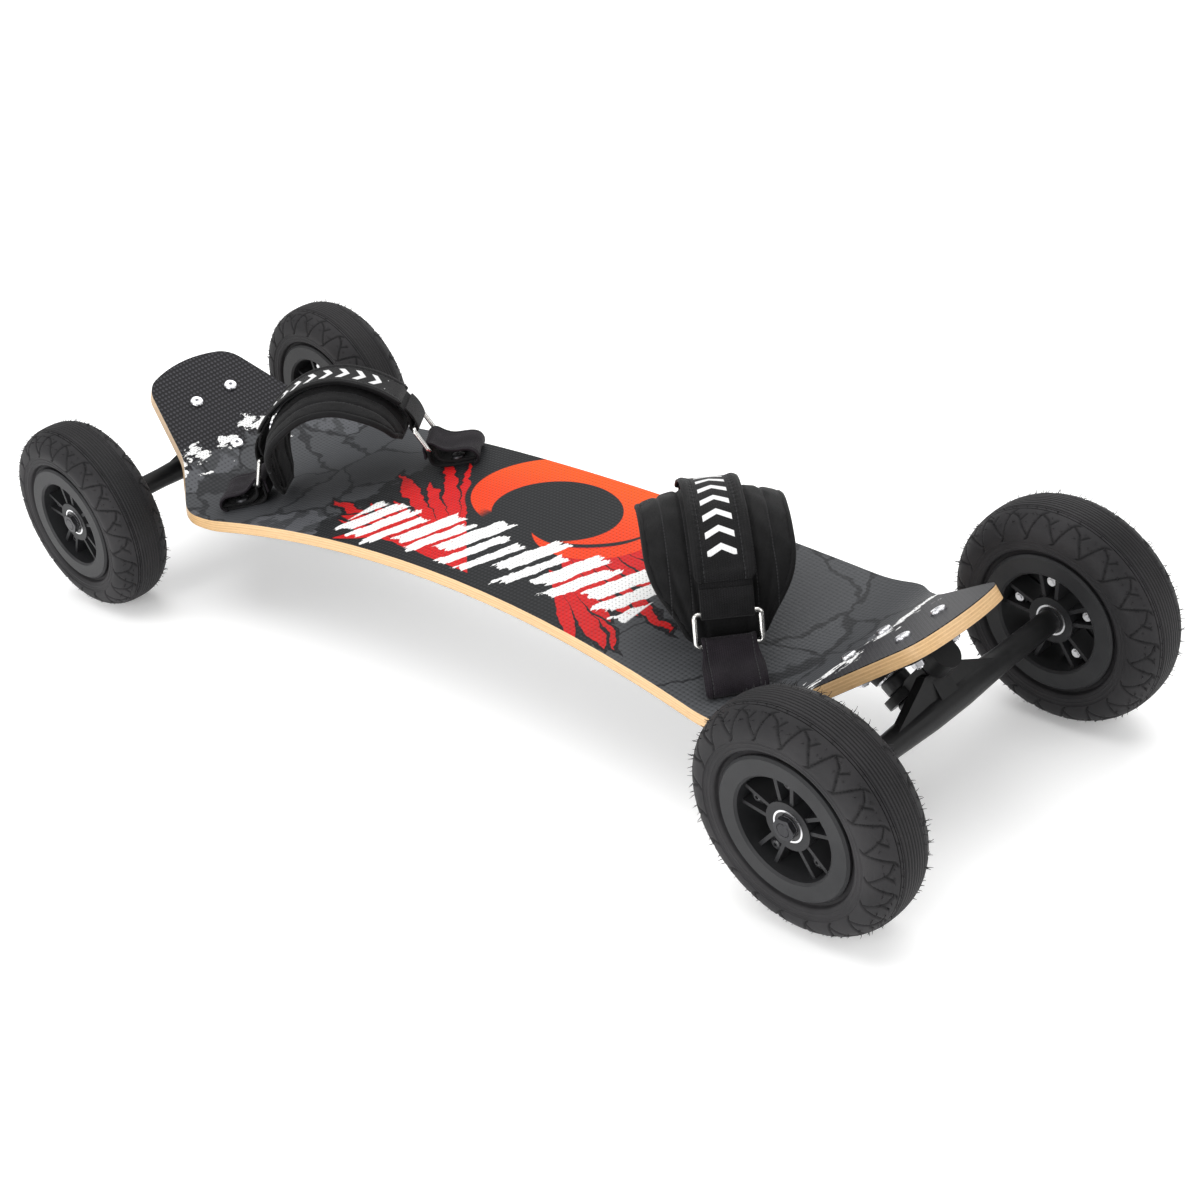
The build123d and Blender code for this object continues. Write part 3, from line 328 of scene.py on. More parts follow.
# ---------------------------------------------------------------- deck shape
@dataclass(frozen=True)
class DeckShape:
    """The deck's side profile, in metres: a wide arch, a reverse bend and a flat raised tip."""

    arch_radius: float = 2.045
    arch_top: float = 0.1357
    bend_radius: float = 0.120
    tip_angle: float = math.radians(32.0)
    tip_point: tuple[float, float] = (0.44187, 0.14931)
    grip: float = 0.0008

    @property
    def tip_up(self) -> np.ndarray:
        """The tip's upward normal in X and Z."""
        return np.array([-math.sin(self.tip_angle), math.cos(self.tip_angle)])

    @property
    def arch_centre(self) -> np.ndarray:
        """The centre of the arch in X and Z."""
        return np.array([0.0, self.arch_top - self.arch_radius])

    @property
    def bend_centre(self) -> np.ndarray:
        """The centre of the bend, tangent to the arch and the tip."""
        out = np.array([math.cos(self.tip_angle), math.sin(self.tip_angle)])
        line = np.array(self.tip_point) + self.tip_up * self.bend_radius - self.arch_centre
        along = float(line @ out)
        reach = self.arch_radius + self.bend_radius
        back = along - math.sqrt(along**2 - float(line @ line) + reach**2)
        return self.arch_centre + line - out * back

    @property
    def bend_start(self) -> float:
        """Where the arch meets the bend."""
        way = self.bend_centre - self.arch_centre
        return float(self.arch_centre[0] + way[0] / np.linalg.norm(way) * self.arch_radius)

    @property
    def bend_end(self) -> float:
        """Where the bend meets the tip."""
        return float(self.bend_centre[0] - self.tip_up[0] * self.bend_radius)

    def surface(self, x: float, y: float) -> tuple[Vector, Vector]:
        """A point on the grip sheet and its upward normal.

        Args:
            x: how far along the deck.
            y: how far across it.

        Returns:
            The point and the normal.
        """
        side, far = (-1.0 if x < 0 else 1.0), abs(x)
        if far <= self.bend_start:
            normal = np.array([far, math.sqrt(self.arch_radius**2 - far**2)]) / self.arch_radius
            point = self.arch_centre + normal * self.arch_radius
        else:
            drop = math.sqrt(self.bend_radius**2 - (far - self.bend_centre[0]) ** 2)
            point = np.array([far, self.bend_centre[1] - drop])
            normal = (self.bend_centre - point) / self.bend_radius
        point = point + normal * self.grip
        return Vector((side * point[0], y, point[1])), Vector((side * normal[0], 0.0, normal[1]))

    def frame_at(self, x: float, y: float, heading: Vector) -> Matrix:
        """A frame on the grip sheet, Z up from it and X near a heading."""
        point, up = self.surface(x, y)
        along = (heading - up * heading.dot(up)).normalized()
        side = up.cross(along)
        matrix = Matrix((along, side, up)).transposed().to_4x4()
        matrix.translation = point
        return matrix

    def depth(self, g: Graph, where: Socket) -> Socket:
        """Nodes for the depth below the laminate's top surface, in metres."""
        x, _, z = g.split(where)
        far = g.absolute(x)
        cz = float(self.arch_centre[1])
        arch = g.minus(self.arch_radius, g.vector("LENGTH", g.join(x, 0.0, g.minus(z, cz))))
        bx, bz = (float(v) for v in self.bend_centre)
        to_bend = g.join(g.minus(far, bx), 0.0, g.minus(z, bz))
        bend = g.minus(g.vector("LENGTH", to_bend), self.bend_radius)
        to_tip = g.join(g.minus(far, self.tip_point[0]), 0.0, g.minus(z, self.tip_point[1]))
        tip = g.times(
            g.vector("DOT_PRODUCT", to_tip, (float(self.tip_up[0]), 0.0, float(self.tip_up[1]))), -1.0
        )
        on_bend = g.math("GREATER_THAN", far, self.bend_start)
        on_tip = g.math("GREATER_THAN", far, self.bend_end)
        first = g.plus(g.times(arch, g.invert(on_bend)), g.times(bend, on_bend))
        keep = g.times(first, g.invert(on_tip))
        return g.plus(keep, g.times(tip, on_tip))


DECK = DeckShape()


# ---------------------------------------------------------------- finishes
@dataclass(frozen=True)
class PlyFinish:
    """Lacquered maple plies: layers show on the edge, long grain on the underside."""

    ply: float = 0.00136
    light: tuple = (0.71, 0.47, 0.235)
    dark: tuple = (0.50, 0.295, 0.125)
    stain_from: float = 0.0117

    def build(self) -> bpy.types.Material:
        """Make the material."""
        material, g, bsdf = start_material("maple_plies")
        where = g.add("TexCoord").outputs["Object"]
        level = g.math("DIVIDE", DECK.depth(g, where), self.ply)
        layer = g.math("FLOOR", level)
        within = g.math("FRACT", level)
        seed = g.math("FRACT", g.times(g.math("SINE", g.times(layer, 12.9)), 43.7))
        grain_at = g.vector("ADD", g.vector("MULTIPLY", where, (6.0, 160.0, 60.0)), g.join(seed, layer, 0.0))
        grain = g.noise(grain_at, 1.0, 6.0, 0.65, 0.4)
        pores = g.step(g.noise(g.vector("MULTIPLY", where, (60.0, 1400.0, 700.0)), 1.0, 2.0), 0.58, 0.7)
        cross = g.math("PINGPONG", layer, 1.0)
        tone = g.plus(g.times(grain, 0.75), g.plus(g.times(cross, 0.22), g.times(seed, 0.18)))
        colour = g.mix(g.step(tone, 0.25, 1.05), self.light, self.dark)
        glue = g.plus(g.invert(g.step(within, 0.03, 0.12)), g.times(pores, 0.35), clamp=True)
        colour = g.mix(g.times(glue, 0.55), colour, (0.27, 0.145, 0.06))
        marks = g.place(EFFECTS.scuffs, Vector=where, Scale=70.0, Amount=0.5).outputs[0]
        colour = g.mix(marks, colour, (0.33, 0.2, 0.1))
        under = g.step(DECK.depth(g, where), self.stain_from, self.stain_from + 0.0001)
        colour = g.mix(under, colour, g.mix(grain, (0.016, 0.015, 0.015), (0.034, 0.031, 0.029)))
        g.feed(bsdf.inputs["Base Color"], colour)
        g.feed(bsdf.inputs["Roughness"], g.plus(0.38, g.times(g.plus(grain, glue), 0.16)))
        g.feed(bsdf.inputs["Normal"], g.bump(g.minus(grain, glue), 0.00025, 0.5))
        bsdf.inputs["Coat Weight"].default_value = 0.25
        bsdf.inputs["Coat Roughness"].default_value = 0.25
        return material


@dataclass(frozen=True)
class PetalFan:
    """A fan of brush petals on the deck, in millimetres."""

    root: tuple[float, float]
    heading: float
    spread: float
    reach: float
    count: int
    curl: float = 0.0


@dataclass(frozen=True)
class PrintedGrip:
    """The printed grip film: black tips, cracked grey foot zones, brush strokes in the middle, and a diamond
    texture with painted highlight and painted shade.
    """

    charcoal: tuple = (0.0115, 0.0125, 0.0132)
    grey: tuple = (0.060, 0.0625, 0.0665)
    pale_grey: tuple = (0.10, 0.103, 0.112)
    black: tuple = (0.007, 0.0065, 0.008)
    white: tuple = (0.86, 0.86, 0.85)
    red: tuple = (0.66, 0.010, 0.008)
    orange: tuple = (0.82, 0.085, 0.004)
    band_turn: float = math.radians(4.3)
    cell_pitch: float = 8.6
    fans: tuple[PetalFan, ...] = (
        PetalFan((32.0, -92.0), math.radians(159.0), 0.34, 272.0, 7, 0.0002),
        PetalFan((-60.0, -58.0), math.radians(186.0), 0.42, 128.0, 4, -0.0008),
        PetalFan((8.0, 26.0), math.radians(-19.0), 0.30, 268.0, 6, -0.0002),
        PetalFan((92.0, -48.0), math.radians(-17.0), 0.36, 150.0, 4, 0.0004),
    )

    @staticmethod
    def ellipse(g: Graph, x: Socket, y: Socket, centre: tuple, radii: tuple) -> Socket:
        """How far out a point lies on an ellipse, one at its rim."""
        a = g.math("DIVIDE", g.minus(x, centre[0]), radii[0])
        b = g.math("DIVIDE", g.minus(y, centre[1]), radii[1])
        return g.vector("LENGTH", g.join(a, b))

    @staticmethod
    def inside(g: Graph, value: Socket, rim: float, soft: float) -> Socket:
        """One where a value is under the rim."""
        return g.invert(g.step(value, rim - soft, rim + soft))

    def zones(self, g: Graph, p: Socket, x: Socket) -> Socket:
        """The background: charcoal middle, cracked grey foot zones and black tips."""
        far = g.absolute(x)
        rough = g.times(g.minus(g.noise(p, 0.022, 5.0, 0.62), 0.5), 150.0)
        foot = g.step(g.plus(far, rough), 186.0, 190.0)
        second = g.noise(g.vector("ADD", p, (90.0, 40.0, 0.0)), 0.03, 4.0)
        shift = g.vector("SCALE", g.join(g.noise(p, 0.03, 4.0), second), scale=46.0)
        warped = g.vector("ADD", p, shift)
        edge = g.cells(warped, 0.0118, "DISTANCE_TO_EDGE")
        tone = g.cells(warped, 0.0118, "F1", "Color")
        cell = g.split(tone)[0]
        mottled = g.mix(g.step(cell, 0.1, 0.9), self.grey, (0.042, 0.044, 0.047))
        pale = g.times(g.step(cell, 0.80, 0.82), g.step(g.noise(p, 0.05, 4.0), 0.46, 0.5))
        mottled = g.mix(g.times(pale, 0.75), mottled, self.pale_grey)
        thick = g.plus(0.012, g.times(g.noise(p, 0.05, 2.0), 0.035))
        crack = g.invert(g.step(edge, g.times(thick, 0.5), thick))
        mottled = g.mix(g.times(crack, 0.8), mottled, (0.009, 0.0095, 0.0105))
        colour = g.mix(foot, self.charcoal, mottled)
        fringe = g.times(g.minus(g.noise(p, 0.05, 4.0, 0.6), 0.5), 46.0)
        tip = g.step(g.plus(far, fringe), 413.0, 415.0)
        colour = g.mix(tip, colour, self.black)
        shreds = g.noise(g.vector("MULTIPLY", p, (0.085, 0.036, 1.0)), 1.0, 5.0, 0.62, 0.5)
        reach = g.times(g.absolute(g.minus(far, 418.0)), 0.0068)
        white = g.step(g.minus(shreds, reach), 0.50, 0.512)
        return g.mix(white, colour, self.white)

    @staticmethod
    def chance(g: Graph, number: Socket, seed: float) -> Socket:
        """A repeatable draw from 0 to 1 for a whole number."""
        return g.math("FRACT", g.times(g.math("SINE", g.times(number, seed)), 437.5))

    def fan(self, g: Graph, p: Socket, x: Socket, y: Socket, fan: PetalFan, grow: float) -> Socket:
        """Pointed brush petals spreading from a root.

        Args:
            g: the material's graph.
            p: the place on the deck, in millimetres.
            x: its X.
            y: its Y.
            fan: the fan's root, heading and size.
            grow: how much wider than the petals the mark is, for their outline.

        Returns:
            One on the petals.
        """
        dx, dy = g.minus(x, fan.root[0]), g.minus(y, fan.root[1])
        c, s = math.cos(fan.heading), math.sin(fan.heading)
        ahead = g.plus(g.times(dx, c), g.times(dy, s))
        aside = g.minus(g.times(dy, c), g.times(dx, s))
        away = g.vector("LENGTH", g.join(ahead, aside))
        wobble = g.times(g.minus(g.noise(p, 0.05, 3.0, 0.5), 0.5), 0.09)
        turn = g.plus(g.math("ARCTAN2", aside, ahead), g.plus(wobble, g.times(away, fan.curl)))
        place = g.times(g.math("DIVIDE", turn, fan.spread), fan.count / 2)
        number = g.math("FLOOR", place)
        reach = g.plus(0.72, g.times(self.chance(g, number, 91.7), 0.28))
        share = g.math("DIVIDE", away, g.times(reach, fan.reach))
        half = g.times(g.invert(g.math("POWER", share, 6.0)), 0.485)
        side = g.absolute(g.minus(g.math("FRACT", place), 0.5))
        mark = g.step(g.minus(half, side), -0.012 - grow, 0.012 - grow)
        fits = g.math("LESS_THAN", g.absolute(turn), fan.spread)
        return g.times(mark, fits)

    def strokes(self, g: Graph, p: Socket, x: Socket, y: Socket) -> Socket:
        """The slanted chunky white brush strokes along the deck's near side."""
        c, s = math.cos(self.band_turn), math.sin(self.band_turn)
        dx, dy = g.minus(x, 20.0), g.plus(y, 50.0)
        along = g.plus(g.times(dx, c), g.times(dy, s))
        across = g.minus(g.times(dy, c), g.times(dx, s))
        ragged = g.minus(g.noise(g.join(g.times(across, 0.35), along), 0.09, 5.0, 0.65), 0.5)
        lean = g.plus(along, g.plus(g.times(across, -0.42), g.times(ragged, 13.0)))
        pitch = g.math("DIVIDE", lean, 25.5)
        number = g.math("FLOOR", pitch)
        chance = self.chance(g, number, 78.2)
        width = g.plus(0.28, g.times(chance, 0.17))
        stroke = g.absolute(g.minus(g.math("FRACT", pitch), 0.5))
        stroke = g.invert(g.step(stroke, g.minus(width, 0.02), width))
        shift = g.times(g.minus(chance, 0.5), 24.0)
        tall = g.plus(31.0, g.times(ragged, 40.0))
        height = g.absolute(g.minus(across, shift))
        body = g.invert(g.step(height, g.minus(tall, 1.0), tall))
        ends = g.invert(g.step(g.absolute(along), 184.0, 186.0))
        worn = g.step(g.noise(p, 0.11, 6.0, 0.7), 0.33, 0.37)
        return g.times(g.times(stroke, body), g.times(ends, worn))

    def build(self) -> bpy.types.Material:
        """Make the material."""
        material, g, bsdf = start_material("printed_grip_film")
        where = g.add("TexCoord").outputs["Object"]
        x3, y3, _ = g.split(g.vector("SCALE", where, scale=1000.0))
        p = g.join(x3, y3)
        colour = self.zones(g, p, x3)
        red = g.mix(
            g.noise(g.vector("MULTIPLY", p, (0.1, 0.02, 1.0)), 1.0, 4.0), self.red, (0.44, 0.004, 0.007)
        )
        for fan in self.fans:
            colour = g.mix(self.fan(g, p, x3, y3, fan, 0.16), colour, self.black)
            colour = g.mix(self.fan(g, p, x3, y3, fan, 0.0), colour, red)
        hood = self.inside(g, self.ellipse(g, x3, y3, (12.0, 56.0), (112.0, 74.0)), 1.0, 0.006)
        hollow = self.inside(g, self.ellipse(g, x3, y3, (19.0, 34.0), (71.0, 53.0)), 1.0, 0.008)
        sweep = self.inside(g, self.ellipse(g, x3, y3, (74.0, 40.0), (66.0, 66.0)), 1.0, 0.008)
        inner = self.inside(g, self.ellipse(g, x3, y3, (56.0, 52.0), (70.0, 66.0)), 1.0, 0.008)
        halo = self.inside(g, self.ellipse(g, x3, y3, (12.0, 56.0), (118.0, 80.0)), 1.0, 0.008)
        below = g.times(g.step(g.absolute(g.minus(x3, 12.0)), 66.0, 46.0), g.step(y3, 4.0, 0.0))
        open_front = g.invert(g.math("MAXIMUM", hollow, below))
        colour = g.mix(halo, colour, self.charcoal)
        tint = g.mix(g.step(y3, 20.0, 110.0), (0.74, 0.045, 0.004), self.orange)
        tail = g.times(sweep, g.invert(inner))
        shape = g.math("MAXIMUM", g.times(hood, open_front), tail)
        colour = g.mix(shape, colour, tint)
        colour = g.mix(self.strokes(g, p, x3, y3), colour, self.white)
        u = g.plus(x3, y3)
        v = g.minus(x3, y3)
        wave = 2 * math.pi / self.cell_pitch
        rows = g.times(g.math("SINE", g.times(u, wave)), g.math("SINE", g.times(v, wave)))
        cell = g.plus(0.5, g.times(rows, 0.5))
        # painted highlight: the tops of the diamond texture are lightened, most strongly on the deck's tips
        far = g.step(g.absolute(x3), 395.0, 425.0)
        painted_highlight_strength = g.plus(0.32, g.times(far, 0.45))
        colour = g.mix(
            g.times(g.step(cell, 0.45, 0.9), painted_highlight_strength), colour, g.mix(0.35, colour, (0.16, 0.16, 0.18))
        )
        # painted shade: the valleys of the diamond texture are blackened
        colour = g.mix(g.times(g.step(cell, 0.3, 0.05), 0.45), colour, self.black)
        marks = g.place(EFFECTS.scuffs, Vector=where, Scale=60.0, Amount=0.25).outputs[0]
        colour = g.mix(marks, colour, (0.11, 0.11, 0.115))
        g.feed(bsdf.inputs["Base Color"], colour)
        grit = g.noise(where, 1600.0, 2.0)
        g.feed(bsdf.inputs["Roughness"], g.plus(0.36, g.times(g.plus(cell, grit), 0.14)))
        height = g.plus(g.times(cell, 0.7), g.times(grit, 0.3))
        g.feed(bsdf.inputs["Normal"], g.bump(height, 0.0005, 0.75))
        bsdf.inputs["Specular IOR Level"].default_value = 0.14
        return material


@dataclass(frozen=True)
class CoatFinish:
    """A coated, moulded or machined surface with its own grain, tone change and marks."""

    name: str
    colour: tuple
    second: tuple
    roughness: float
    metallic: float = 0.0
    fine: float = 900.0
    broad: float = 25.0
    depth: float = 0.0002
    marks: float = 0.3
    mark_colour: tuple = (0.2, 0.2, 0.2)
    coat: float = 0.0
    specular: float = 0.5
    brushed: Optional[tuple] = None

    def build(self) -> bpy.types.Material:
        """Make the material."""
        material, g, bsdf = start_material(self.name)
        where = g.add("TexCoord").outputs["Object"]
        at = g.vector("MULTIPLY", where, self.brushed) if self.brushed else where
        grain = g.place(EFFECTS.grain, Vector=at, Fine=self.fine, Broad=self.broad)
        height, tone = grain.outputs["Height"], grain.outputs["Tone"]
        colour = g.mix(g.step(tone, 0.3, 0.7), self.colour, self.second)
        marks = g.place(EFFECTS.scuffs, Vector=where, Scale=120.0, Amount=self.marks).outputs[0]
        colour = g.mix(marks, colour, self.mark_colour)
        g.feed(bsdf.inputs["Base Color"], colour)
        rough = g.plus(self.roughness, g.times(g.minus(tone, 0.5), 0.25))
        g.feed(bsdf.inputs["Roughness"], g.plus(rough, g.times(height, 0.06), clamp=True))
        g.feed(bsdf.inputs["Normal"], g.bump(height, self.depth, 0.5))
        bsdf.inputs["Metallic"].default_value = self.metallic
        bsdf.inputs["Specular IOR Level"].default_value = self.specular
        if self.coat:
            bsdf.inputs["Coat Weight"].default_value = self.coat
            bsdf.inputs["Coat Roughness"].default_value = 0.2
        return material


@dataclass(frozen=True)
class HubBoltFinish:
    """Hub fasteners: zinc nuts on the inner side, blackened heads on the outer side."""

    side_y: float = 0.168

    def build(self) -> bpy.types.Material:
        """Make the material."""
        material, g, bsdf = start_material("hub_fasteners")
        where = g.add("TexCoord").outputs["Object"]
        y = g.absolute(g.split(where)[1])
        outside = g.step(y, self.side_y - 0.001, self.side_y + 0.001)
        grain = g.place(EFFECTS.grain, Vector=where, Fine=1500.0, Broad=90.0)
        zinc = g.mix(grain.outputs["Tone"], (0.82, 0.82, 0.83), (0.62, 0.62, 0.64))
        g.feed(bsdf.inputs["Base Color"], g.mix(outside, zinc, (0.03, 0.03, 0.032)))
        g.feed(bsdf.inputs["Metallic"], g.invert(outside))
        g.feed(bsdf.inputs["Roughness"], g.plus(0.24, g.times(grain.outputs["Tone"], 0.14)))
        g.feed(bsdf.inputs["Normal"], g.bump(grain.outputs["Height"], 0.0001, 0.4))
        return material


@dataclass(frozen=True)
class TyreRubber:
    """Moulded rubber with a dusty bloom; painted shade darkens the grooves."""

    def build(self) -> bpy.types.Material:
        """Make the material."""
        material, g, bsdf = start_material("tyre_rubber_compound")
        where = g.add("TexCoord").outputs["Object"]
        grain = g.place(EFFECTS.grain, Vector=where, Fine=1400.0, Broad=14.0)
        deep = g.add("Attribute", attribute_name="groove").outputs["Fac"]
        bloom = g.step(grain.outputs["Tone"], 0.35, 0.75)
        colour = g.mix(bloom, (0.0135, 0.0130, 0.0142), (0.0265, 0.0252, 0.0268))
        # painted shade: the zigzag grooves and rib cuts are darkened towards near-black
        colour = g.mix(g.times(deep, 0.8), colour, (0.0025, 0.0025, 0.003))
        dust = g.place(EFFECTS.scuffs, Vector=where, Scale=45.0, Amount=0.35).outputs[0]
        colour = g.mix(dust, colour, (0.045, 0.043, 0.041))
        g.feed(bsdf.inputs["Base Color"], colour)
        g.feed(bsdf.inputs["Roughness"], g.plus(0.5, g.times(grain.outputs["Tone"], 0.22)))
        g.feed(bsdf.inputs["Normal"], g.bump(grain.outputs["Height"], 0.00018, 0.6))
        bsdf.inputs["Specular IOR Level"].default_value = 0.2
        return material


@dataclass(frozen=True)
class WebbingFinish:
    """Woven webbing or knitted cover cloth on the piece's own UV, in metres."""

    name: str
    colour: tuple
    second: tuple
    along: float = 620.0
    across: float = 480.0
    depth: float = 0.0004
    roughness: float = 0.62
    sheen: float = 0.05
    rows: tuple = ()
    thread: tuple = (0.035, 0.035, 0.037)
    printed: bool = False

    def print_mask(self, g: Graph, uv: Socket) -> Socket:
        """White bars and a chevron row in the print panel, on U along the strap and V across it."""
        u, v, _ = g.split(uv)
        across = g.absolute(v)
        panel = g.invert(g.step(across, 0.0118, 0.0122))
        slant = g.plus(u, g.times(across, 0.55))
        phase = g.absolute(g.minus(g.math("FRACT", g.math("DIVIDE", slant, 0.0165)), 0.5))
        bar = g.invert(g.step(phase, 0.17, 0.185))
        length = g.invert(g.step(g.absolute(u), 0.0655, 0.066))
        return g.times(g.times(bar, panel), length)

    def build(self) -> bpy.types.Material:
        """Make the material."""
        material, g, bsdf = start_material(self.name)
        uv = g.add("UVMap", uv_map="UVMap").outputs[0]
        where = g.add("TexCoord").outputs["Object"]
        weave = g.place(EFFECTS.weave, Vector=uv, Along=self.along, Across=self.across)
        tone = g.noise(where, 55.0, 5.0, 0.6)
        colour = g.mix(g.step(tone, 0.3, 0.7), self.colour, self.second)
        # painted shade: the gaps between threads are darkened towards near-black
        colour = g.mix(g.times(weave.outputs["Gap"], 0.65), colour, (0.004, 0.004, 0.004))
        height = weave.outputs["Height"]
        if self.printed:
            ink = self.print_mask(g, uv)
            colour = g.mix(g.times(ink, 0.96), colour, (0.80, 0.80, 0.80))
        for row in self.rows:
            stitch = g.place(EFFECTS.stitches, Vector=uv, Row=row, Pitch=0.0032, Width=0.00045)
            colour = g.mix(stitch.outputs["Thread"], colour, self.thread)
            sunk = g.times(stitch.outputs["Dent"], 1.6)
            height = g.plus(g.minus(height, sunk), g.times(stitch.outputs["Thread"], 1.8))
        fuzz = g.noise(where, 2600.0, 2.0)
        g.feed(bsdf.inputs["Base Color"], colour)
        g.feed(bsdf.inputs["Roughness"], g.plus(self.roughness, g.times(fuzz, 0.16)))
        g.feed(bsdf.inputs["Normal"], g.bump(g.plus(height, g.times(fuzz, 0.35)), self.depth, 0.8))
        bsdf.inputs["Specular IOR Level"].default_value = 0.12
        bsdf.inputs["Sheen Weight"].default_value = self.sheen
        bsdf.inputs["Sheen Roughness"].default_value = 0.45
        return material


# ---------------------------------------------------------------- modelling helpers
def only(obj: bpy.types.Object) -> bpy.types.Object:
    """Select one object alone, make it active and return it."""
    bpy.ops.object.select_all(action="DESELECT")
    obj.select_set(True)
    bpy.context.view_layer.objects.active = obj
    return obj


def coords(obj: bpy.types.Object) -> np.ndarray:
    """The mesh's vertex coordinates as rows."""
    flat = np.empty(len(obj.data.vertices) * 3)
    obj.data.vertices.foreach_get("co", flat)
    return flat.reshape(-1, 3)


def set_coords(obj: bpy.types.Object, rows: np.ndarray) -> None:
    """Move the mesh's vertices to rows of coordinates."""
    obj.data.vertices.foreach_set("co", np.ascontiguousarray(rows, dtype=np.float32).ravel())
    obj.data.update()


def normals(obj: bpy.types.Object) -> np.ndarray:
    """The mesh's vertex normals as rows."""
    flat = np.empty(len(obj.data.vertices) * 3)
    obj.data.vertex_normals.foreach_get("vector", flat)
    return flat.reshape(-1, 3)


def set_uv(obj: bpy.types.Object, uv: np.ndarray) -> None:
    """Give the mesh one UV map from a UV for each vertex, in metres."""
    layer = obj.data.uv_layers.get("UVMap") or obj.data.uv_layers.new(name="UVMap")
    corner = np.empty(len(obj.data.loops), dtype=np.int32)
    obj.data.loops.foreach_get("vertex_index", corner)
    layer.data.foreach_set("uv", uv[corner].astype(np.float32).ravel())


def apply_modifier(obj: bpy.types.Object, kind: str, **settings: object) -> None:
    """Add a modifier, set it and apply it.

    Args:
        obj: the object.
        kind: the modifier's type.
        settings: properties set on the modifier.
    """
    only(obj)
    modifier = obj.modifiers.new(kind.lower(), kind)
    for name, value in settings.items():
        setattr(modifier, name, value)
    bpy.ops.object.modifier_apply(modifier=modifier.name)


def close_shell(obj: bpy.types.Object, merge: float = 0.0) -> None:
    """Merge doubled vertices, if a distance is given, and turn every face outwards."""
    only(obj)
    bpy.ops.object.mode_set(mode="EDIT")
    bpy.ops.mesh.select_all(action="SELECT")
    if merge:
        bpy.ops.mesh.remove_doubles(threshold=merge)
    bpy.ops.mesh.normals_make_consistent(inside=False)
    bpy.ops.object.mode_set(mode="OBJECT")


def smooth_shade(obj: bpy.types.Object, angle: float = 40.0) -> None:
    """Shade smooth, with edges sharper than the angle left crisp."""
    only(obj)
    bpy.ops.object.shade_smooth_by_angle(angle=math.radians(angle))


def new_grid(name: str, along: int, across: int) -> bpy.types.Object:
    """A flat grid whose X and Y run from -1 to 1, ready to be shaped."""
    bpy.ops.object.select_all(action="DESELECT")
    bpy.ops.mesh.primitive_grid_add(x_subdivisions=along, y_subdivisions=across, size=2.0)
    obj = bpy.context.object
    obj.name = obj.data.name = name
    return obj


def joined(name: str, parts: list[bpy.types.Object]) -> bpy.types.Object:
    """Join objects into the first one and name it."""
    bpy.ops.object.select_all(action="DESELECT")
    for part in parts:
        part.select_set(True)
    bpy.context.view_layer.objects.active = parts[0]
    if len(parts) > 1:
        bpy.ops.object.join()
    parts[0].name = parts[0].data.name = name
    return parts[0]


def mirrored_copy(obj: bpy.types.Object, name: str) -> bpy.types.Object:
    """A copy on the other side of the YZ plane, with its own mesh."""
    twin = obj.copy()
    twin.data = obj.data.copy()
    twin.name = twin.data.name = name
    bpy.context.scene.collection.objects.link(twin)
    twin.data.transform(Matrix.Scale(-1.0, 4, Vector((1.0, 0.0, 0.0))))
    twin.data.flip_normals()
    return twin


def round_cord(name: str, points: np.ndarray, radius: float, cyclic: bool) -> bpy.types.Object:
    """A round trim that follows points, as a closed mesh.

    Args:
        name: the object's name.
        points: rows of coordinates.
        radius: the trim's radius.
        cyclic: whether it closes on itself.

    Returns:
        The mesh object.
    """
    curve = bpy.data.curves.new(name, "CURVE")
    curve.dimensions = "3D"
    curve.bevel_depth, curve.bevel_resolution, curve.use_fill_caps = radius, 3, True
    spline = curve.splines.new("POLY")
    spline.points.add(len(points) - 1)
    spline.points.foreach_set("co", np.column_stack([points, np.ones(len(points))]).ravel())
    spline.use_cyclic_u = cyclic
    obj = bpy.data.objects.new(name, curve)
    bpy.context.scene.collection.objects.link(obj)
    only(obj)
    bpy.ops.object.convert(target="MESH")
    smooth_shade(obj, 60.0)
    return obj


def smooth_step(value: np.ndarray, low: float, high: float) -> np.ndarray:
    """Zero below low, one above high, smooth between."""
    t = np.clip((value - low) / (high - low), 0.0, 1.0)
    return t * t * (3.0 - 2.0 * t)


